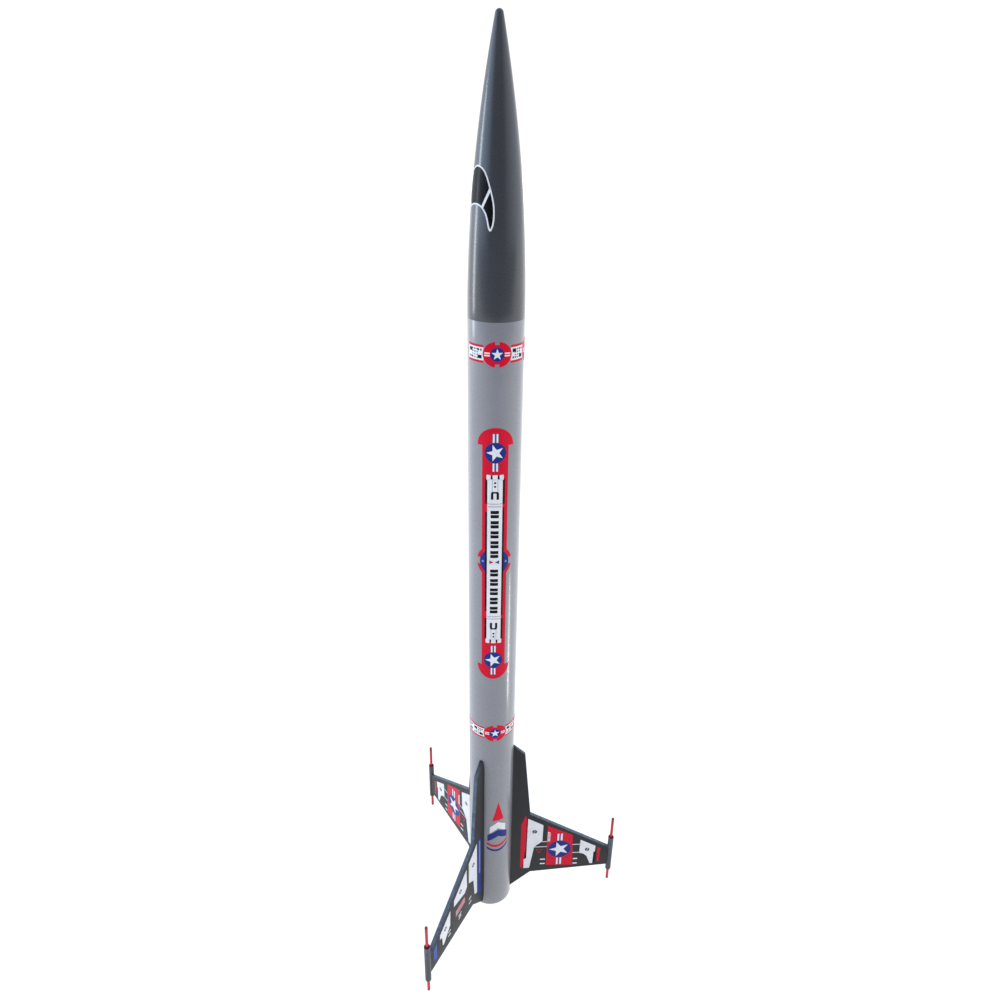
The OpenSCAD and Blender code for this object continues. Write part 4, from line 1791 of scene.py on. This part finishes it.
@dataclass
class CanopyWindows:
    """The wrap-round window decal on the nose: a white frame with black panes."""

    azimuth: float = -148.0
    reference_mm: float = 17.6
    frame_width: float = 1.0
    half_outline: tuple[Point2, ...] = (
        (0.0, 699.4), (18.4, 697.4), (30.2, 692.9), (40.8, 684.7), (47.5, 676.9), (49.2, 669.7), (47.0, 663.2),
        (41.0, 659.4), (35.8, 661.5), (32.0, 666.4), (26.8, 670.6), (17.6, 673.9), (8.0, 675.2), (0.0, 675.4),
    )

    def outline(self) -> list[Point2]:
        """The outer outline, counter-clockwise, as flat millimetres and heights."""
        scale = math.radians(1.0) * self.reference_mm
        points = [(d * scale, z) for d, z in self.half_outline]
        left = [(-u, z) for u, z in points[1:-1]][::-1]
        return smooth_loop((points + left)[::-1], 5)

    def build(self) -> None:
        """Prints the frame and its three panes, and lays them on the nose."""
        film = Film(NoseFace(self.azimuth, self.reference_mm))
        outer = self.outline()
        film.add(Finish.INK_WHITE, 0, outer)
        pane = frame_inside(outer, self.frame_width)
        scale = math.radians(1.0) * self.reference_mm
        top = Vector((42.0 * scale, 687.6))
        foot = Vector((19.0 * scale, 673.0))
        along = (top - foot).normalized()
        across = Vector((along.y, -along.x))
        half = 0.85
        for side in (-1.0, 1.0):
            normal = (side * across.x, across.y)
            point = (side * foot.x + half * normal[0], foot.y + half * normal[1])
            film.add(Finish.INK_BLACK, 1, pane, keep=((point, normal),))
        inner = []
        for side in (-1.0, 1.0):
            normal = (-side * across.x, -across.y)
            point = (side * foot.x + half * normal[0], foot.y + half * normal[1])
            inner.append((point, normal))
        film.add(Finish.INK_BLACK, 1, pane, keep=tuple(inner))
        hang(join_films(film.meshes(), "canopy_windows"), "canopy_windows", "nose")


@dataclass
class FinDecals:
    """The printed panels on both faces of one fin."""

    letter: str
    azimuth: float
    star_face: float

    def slot_mark(self, film: Film, centre: Point2, radius: float) -> None:
        """A round black fastener mark with a slanted slot."""
        film.add(Finish.INK_BLACK, 2, disc(centre, radius, 24))
        x, y = centre
        film.add(Finish.INK_WHITE, 3, [(x - 0.9, y - 1.6), (x - 0.2, y - 1.7), (x + 0.9, y + 1.6), (x + 0.2, y + 1.7)])

    def star_side(self) -> list[bpy.types.Mesh]:
        """The face with the red star block between two white panels."""
        film = Film(FinFace(self.azimuth, self.star_face))
        film.add(Finish.INK_RED, 0, [(30.8, 28.6), (33.5, 28.6), (36.2, 59.4), (36.3, 100.0), (35.0, 103.0),
                                     (30.8, 91.0)])
        film.add(Finish.INK_BLACK, 1, [(33.4, 28.6), (34.6, 28.6), (35.4, 43.0), (37.6, 44.0), (37.8, 99.3),
                                       (36.2, 100.2), (36.1, 59.4)])
        film.add(Finish.INK_WHITE, 2, [(34.4, 27.6), (40.3, 27.8), (44.5, 57.7), (46.4, 60.4), (52.9, 66.1),
                                       (53.2, 89.2), (37.4, 99.2), (36.9, 42.4), (34.4, 40.8)])
        self.slot_mark(film, (44.6, 80.4), 2.4)
        self.add_star_block(film)
        for z, near, far in ((65.4, 53.0, 57.8), (58.2, 45.2, 57.8), (59.5, 84.4, 92.2), (47.6, 85.0, 92.0)):
            film.add(Finish.INK_WHITE, 0, rect(near, z - 0.45, far, z + 0.45))
        for near, far, z in ((51.5, 56.6, 39.6), (51.5, 56.6, 33.2), (85.8, 90.4, 38.5), (85.8, 90.2, 31.8)):
            film.add(Finish.INK_WHITE, 0, rect(near, z - 0.85, far, z + 0.85))
        triangle = [(50.0, 48.9), (52.8, 54.6), (47.0, 54.6)]
        film.add(Finish.INK_RED, 0, triangle)
        film.add(Finish.INK_BLACK, 1, inset(triangle, 0.7))
        film.add(Finish.INK_WHITE, 0, [(103.8, 30.6), (106.6, 30.4), (106.9, 47.0), (108.3, 48.1), (108.5, 56.0),
                                       (92.4, 65.9), (91.9, 46.8), (96.5, 45.2), (99.9, 41.7)])
        self.slot_mark(film, (100.0, 51.4), 2.3)
        film.add(Finish.INK_BLACK, 0, [(107.0, 31.2), (109.0, 31.2), (109.8, 47.0), (107.0, 47.0)])
        film.add(Finish.INK_RED, 0, [(111.2, 33.2), (113.2, 32.8), (113.8, 52.3), (110.4, 54.0)])
        return film.meshes()

    def add_star_block(self, film: Film) -> None:
        """The red block with its star disc, twin stripes and a small striped tab."""
        film.add(Finish.INK_RED, 0, [(57.8, 31.0), (85.3, 29.6), (84.1, 73.1), (57.9, 87.8)])
        middle = (70.9, 53.8)
        for low, high in ((66.0, 76.4), (31.2, 41.6)):
            for side in (-1.75, 1.75):
                x = middle[0] + side
                film.add(Finish.INK_BLUE, 1, rect(x - 1.5, low, x + 1.5, high))
                film.add(Finish.INK_WHITE, 2, rect(x - 0.95, low + 0.3, x + 0.95, high - 0.3))
        film.add(Finish.INK_BLUE, 1, disc(middle, 12.0))
        film.add(Finish.INK_WHITE, 2, star(middle, 10.6, 180.0))
        film.add(Finish.INK_WHITE, 1, [(58.2, 65.8), (60.8, 65.8), (60.9, 78.0), (58.2, 79.5)])
        film.add_row(Finish.INK_RED, 2, rect(-0.9, -0.45, 0.9, 0.45), (59.5, 67.6), 6, 1.9, 0.6)

    def blue_side(self) -> list[bpy.types.Mesh]:
        """The face with the blue root strip, white panels and a red-lined box."""
        film = Film(FinFace(self.azimuth, -self.star_face))
        film.add(Finish.INK_BLUE, 0, [(24.6, 20.6), (31.8, 25.4), (32.2, 104.0), (28.6, 104.0), (24.6, 98.0)])
        film.add(Finish.INK_SKY, 1, [(26.4, 52.0), (28.6, 54.0), (28.8, 100.0), (26.4, 97.0)])
        film.add(Finish.INK_WHITE, 0, [(33.0, 30.4), (38.2, 34.0), (40.5, 56.6), (49.9, 63.4), (49.6, 90.0),
                                       (33.3, 100.4)])
        self.slot_mark(film, (40.6, 78.7), 2.3)
        film.add(Finish.INK_WHITE, 0, [(58.1, 59.0), (79.0, 64.5), (78.7, 72.6), (54.2, 87.2), (53.6, 63.0)])
        self.slot_mark(film, (66.4, 71.0), 2.3)
        box = rect(58.0, 46.0, 76.2, 54.6)
        film.add(Finish.INK_RED, 0, box)
        film.add(Finish.INK_GREY, 1, inset(box, 0.8))
        for level in (0.0, 3.2):
            film.add_row(Finish.INK_RED, 2, rect(-6.4, -0.6, 6.4, 0.6), (67.1, 48.7 + level), 1, 1.0)
        film.add_row(Finish.INK_WHITE, 0, rect(-2.4, -0.8, 2.4, 0.8), (47.6, 33.4), 2, 6.4)
        film.add_row(Finish.INK_WHITE, 0, rect(-3.4, -0.6, 3.4, 0.6), (68.0, 36.6), 3, 2.4, 0.5)
        film.add_row(Finish.INK_WHITE, 0, rect(-2.2, -0.8, 2.2, 0.8), (88.0, 36.6), 2, 5.0)
        film.add(Finish.INK_WHITE, 0, [(98.0, 37.0), (100.6, 37.4), (101.4, 49.5), (105.4, 52.0), (104.9, 57.2),
                                       (85.7, 67.6), (86.6, 48.6)])
        self.slot_mark(film, (95.2, 54.2), 2.2)
        film.add(Finish.INK_BLACK, 0, [(103.6, 35.0), (105.2, 35.0), (106.6, 48.0), (104.6, 48.0)])
        film.add(Finish.INK_AZURE, 0, [(111.2, 34.0), (116.4, 36.4), (116.4, 50.8), (110.8, 54.4)])
        return film.meshes()

    def build(self) -> None:
        """Lays the panels on both faces and hangs them as one film each."""
        for side, meshes in (("star", self.star_side()), ("blue", self.blue_side())):
            name = f"fin_print_{self.letter}_{side}"
            hang(join_films(meshes, name), name, "rocket")


# ---------------------------------------------------------------- studio

@dataclass
class Studio:
    """The camera, the floor, whose pale glow is painted light, and the soft lights."""

    camera_at: tuple[float, float, float] = (-0.03309, -0.54562, 0.71947)
    view: tuple[float, float, float] = (0.06202851, 0.89751598, -0.43659767)
    up: tuple[float, float, float] = (0.0158218, 0.43650082, 0.89956473)
    lens: float = 27.41
    floor_size: float = 30.0
    # Floor glow, painted light: where it fades on the camera's side, and how much brighter it gets towards the sides.
    floor_fade: Point2 = (-2.4, -0.9)
    floor_sides: float = 1.5
    near_side: Colour = (0.30, 0.31, 0.33, 1.0)
    far_side: Colour = (1.05, 1.05, 1.05, 1.0)
    overhead: Colour = (0.95, 1.05, 1.2, 1.0)
    left_side: Colour = (1.85, 2.35, 3.05, 1.0)
    right_side: Colour = (1.35, 1.45, 1.6, 1.0)

    def place_camera(self) -> None:
        """Sets up the camera without depth of field."""
        data = bpy.data.cameras.new("view")
        data.lens = self.lens
        data.sensor_width = 36.0
        data.clip_start = 0.01
        camera = bpy.data.objects.new("view", data)
        bpy.context.scene.collection.objects.link(camera)
        ahead = Vector(self.view).normalized()
        right = ahead.cross(Vector(self.up)).normalized()
        turn = Matrix((right, right.cross(ahead), -ahead)).transposed()
        camera.matrix_world = Matrix.Translation(self.camera_at) @ turn.to_4x4()
        bpy.context.scene.camera = camera

    def lay_floor(self) -> None:
        """Lays a floor that glows pale: painted light, with emission over a dark grey base so that it looks white and
        hides its own shadows, brighter towards the sides to light the rocket's sides, and dimmer far out on the
        camera's side.
        """
        half = self.floor_size / 2.0
        mesh = bpy.data.meshes.new("floor")
        mesh.from_pydata([(-half, -half, 0), (half, -half, 0), (half, half, 0), (-half, half, 0)], [], [(0, 1, 2, 3)])
        shader = Shader("floor_glowing", Roughness=0.9, Specular_IOR_Level=0.1)
        # Painted light: the floor's own colour is dark grey, and its white comes from the emission set below.
        shader.surface.inputs["Base Color"].default_value = (0.3, 0.3, 0.3, 1.0)
        shader.surface.inputs["Emission Color"].default_value = (1.0, 1.0, 1.0, 1.0)
        part = shader.node("ShaderNodeSeparateXYZ", {0: shader.place})
        aside = shader.spread(shader.math("ABSOLUTE", part.outputs[0]), 1.0, self.floor_sides, 0.12, 0.7)
        ahead = shader.spread(part.outputs[1], 0.05, 0.86, *self.floor_fade)
        shader.feed("Emission Strength", shader.math("MULTIPLY", aside, ahead))
        mesh.materials.append(shader.material)
        floor = bpy.data.objects.new("floor", mesh)
        bpy.context.scene.collection.objects.link(floor)

    def add_strip(self, name: str, at: Sequence[float], size: Point2, radiance: float, aim: Sequence[float],
                  tint: Sequence[float] = (1.0, 1.0, 1.0)) -> None:
        """Adds a soft strip that only shows as a reflection.

        Args:
            name: The light's name.
            at: Where it hangs.
            size: Its width and height.
            radiance: How bright its surface looks.
            aim: The point that it faces.
            tint: Its colour.
        """
        data = bpy.data.lights.new(name, "AREA")
        data.shape = "RECTANGLE"
        data.size, data.size_y = size
        data.energy = radiance * math.pi * size[0] * size[1]
        data.color = tint
        lamp = bpy.data.objects.new(name, data)
        bpy.context.scene.collection.objects.link(lamp)
        lamp.location = at
        lamp.rotation_euler = (Vector(aim) - Vector(at)).to_track_quat("-Z", "Y").to_euler()
        lamp.visible_diffuse = False
        lamp.visible_camera = False

    def surround(self) -> None:
        """Sets the surroundings: white behind the rocket, cool and bright at the sides, dim on the near side."""
        world = bpy.data.worlds.new("surroundings")
        world.use_nodes = True
        sky = Graph(world.node_tree)
        place = sky.node("ShaderNodeTexCoord")
        part = sky.node("ShaderNodeSeparateXYZ", {0: place.outputs["Generated"]})
        colour: object = self.near_side
        for axis, start, end, tint in (
            (1, -0.1, 0.72, self.far_side), (2, 0.35, 0.95, self.overhead),
            (0, -0.58, -1.0, self.left_side), (0, 0.45, 1.0, self.right_side),
        ):
            share = sky.spread(part.outputs[axis], 0.0, 1.0, start, end)
            colour = sky.blend(share, colour, tint)
        world.node_tree.links.new(colour, world.node_tree.nodes["Background"].inputs["Color"])
        bpy.context.scene.world = world

    def light(self) -> None:
        """Sets the pale surroundings and the strips whose reflections show the gloss."""
        self.surround()
        self.add_strip("left_strip", (-1.6, 0.35, 0.70), (0.34, 0.9), 7.5, (0, 0, 0.6), (0.88, 0.94, 1.0))
        self.add_strip("right_strip", (0.30, -0.07, 0.12), (0.03, 0.16), 14.0, (0, 0, 0.3))
        bpy.context.scene.view_settings.view_transform = "Standard"

    def build(self) -> None:
        """Builds the whole set."""
        self.place_camera()
        self.lay_floor()
        self.light()
        log.info("studio ready")


def main() -> None:
    """Builds the rocket's sub-assemblies in order."""
    logging.basicConfig(level=logging.INFO, format="%(name)s: %(message)s")
    Studio().build()
    NoseCone().build()
    BodyTube().build()
    EngineMount().build()
    for letter, azimuth, star_face in AIRFRAME.fins:
        Fin(letter, azimuth).build()
        TipPod(letter, azimuth).build()
        FinDecals(letter, azimuth, star_face).build()
    for name in ("forward", "aft"):
        LaunchLug(name).build()
    RecoveryBay().build()
    WrapBand("band_upper", -90.4, 577.6, 69.0).build()
    WrapBand("band_lower", -85.0, 230.0, 95.0).build()
    SidePanel().build()
    TailMark().build()
    CanopyWindows().build()
    bpy.context.view_layer.update()


if __name__ == "__main__":
    main()
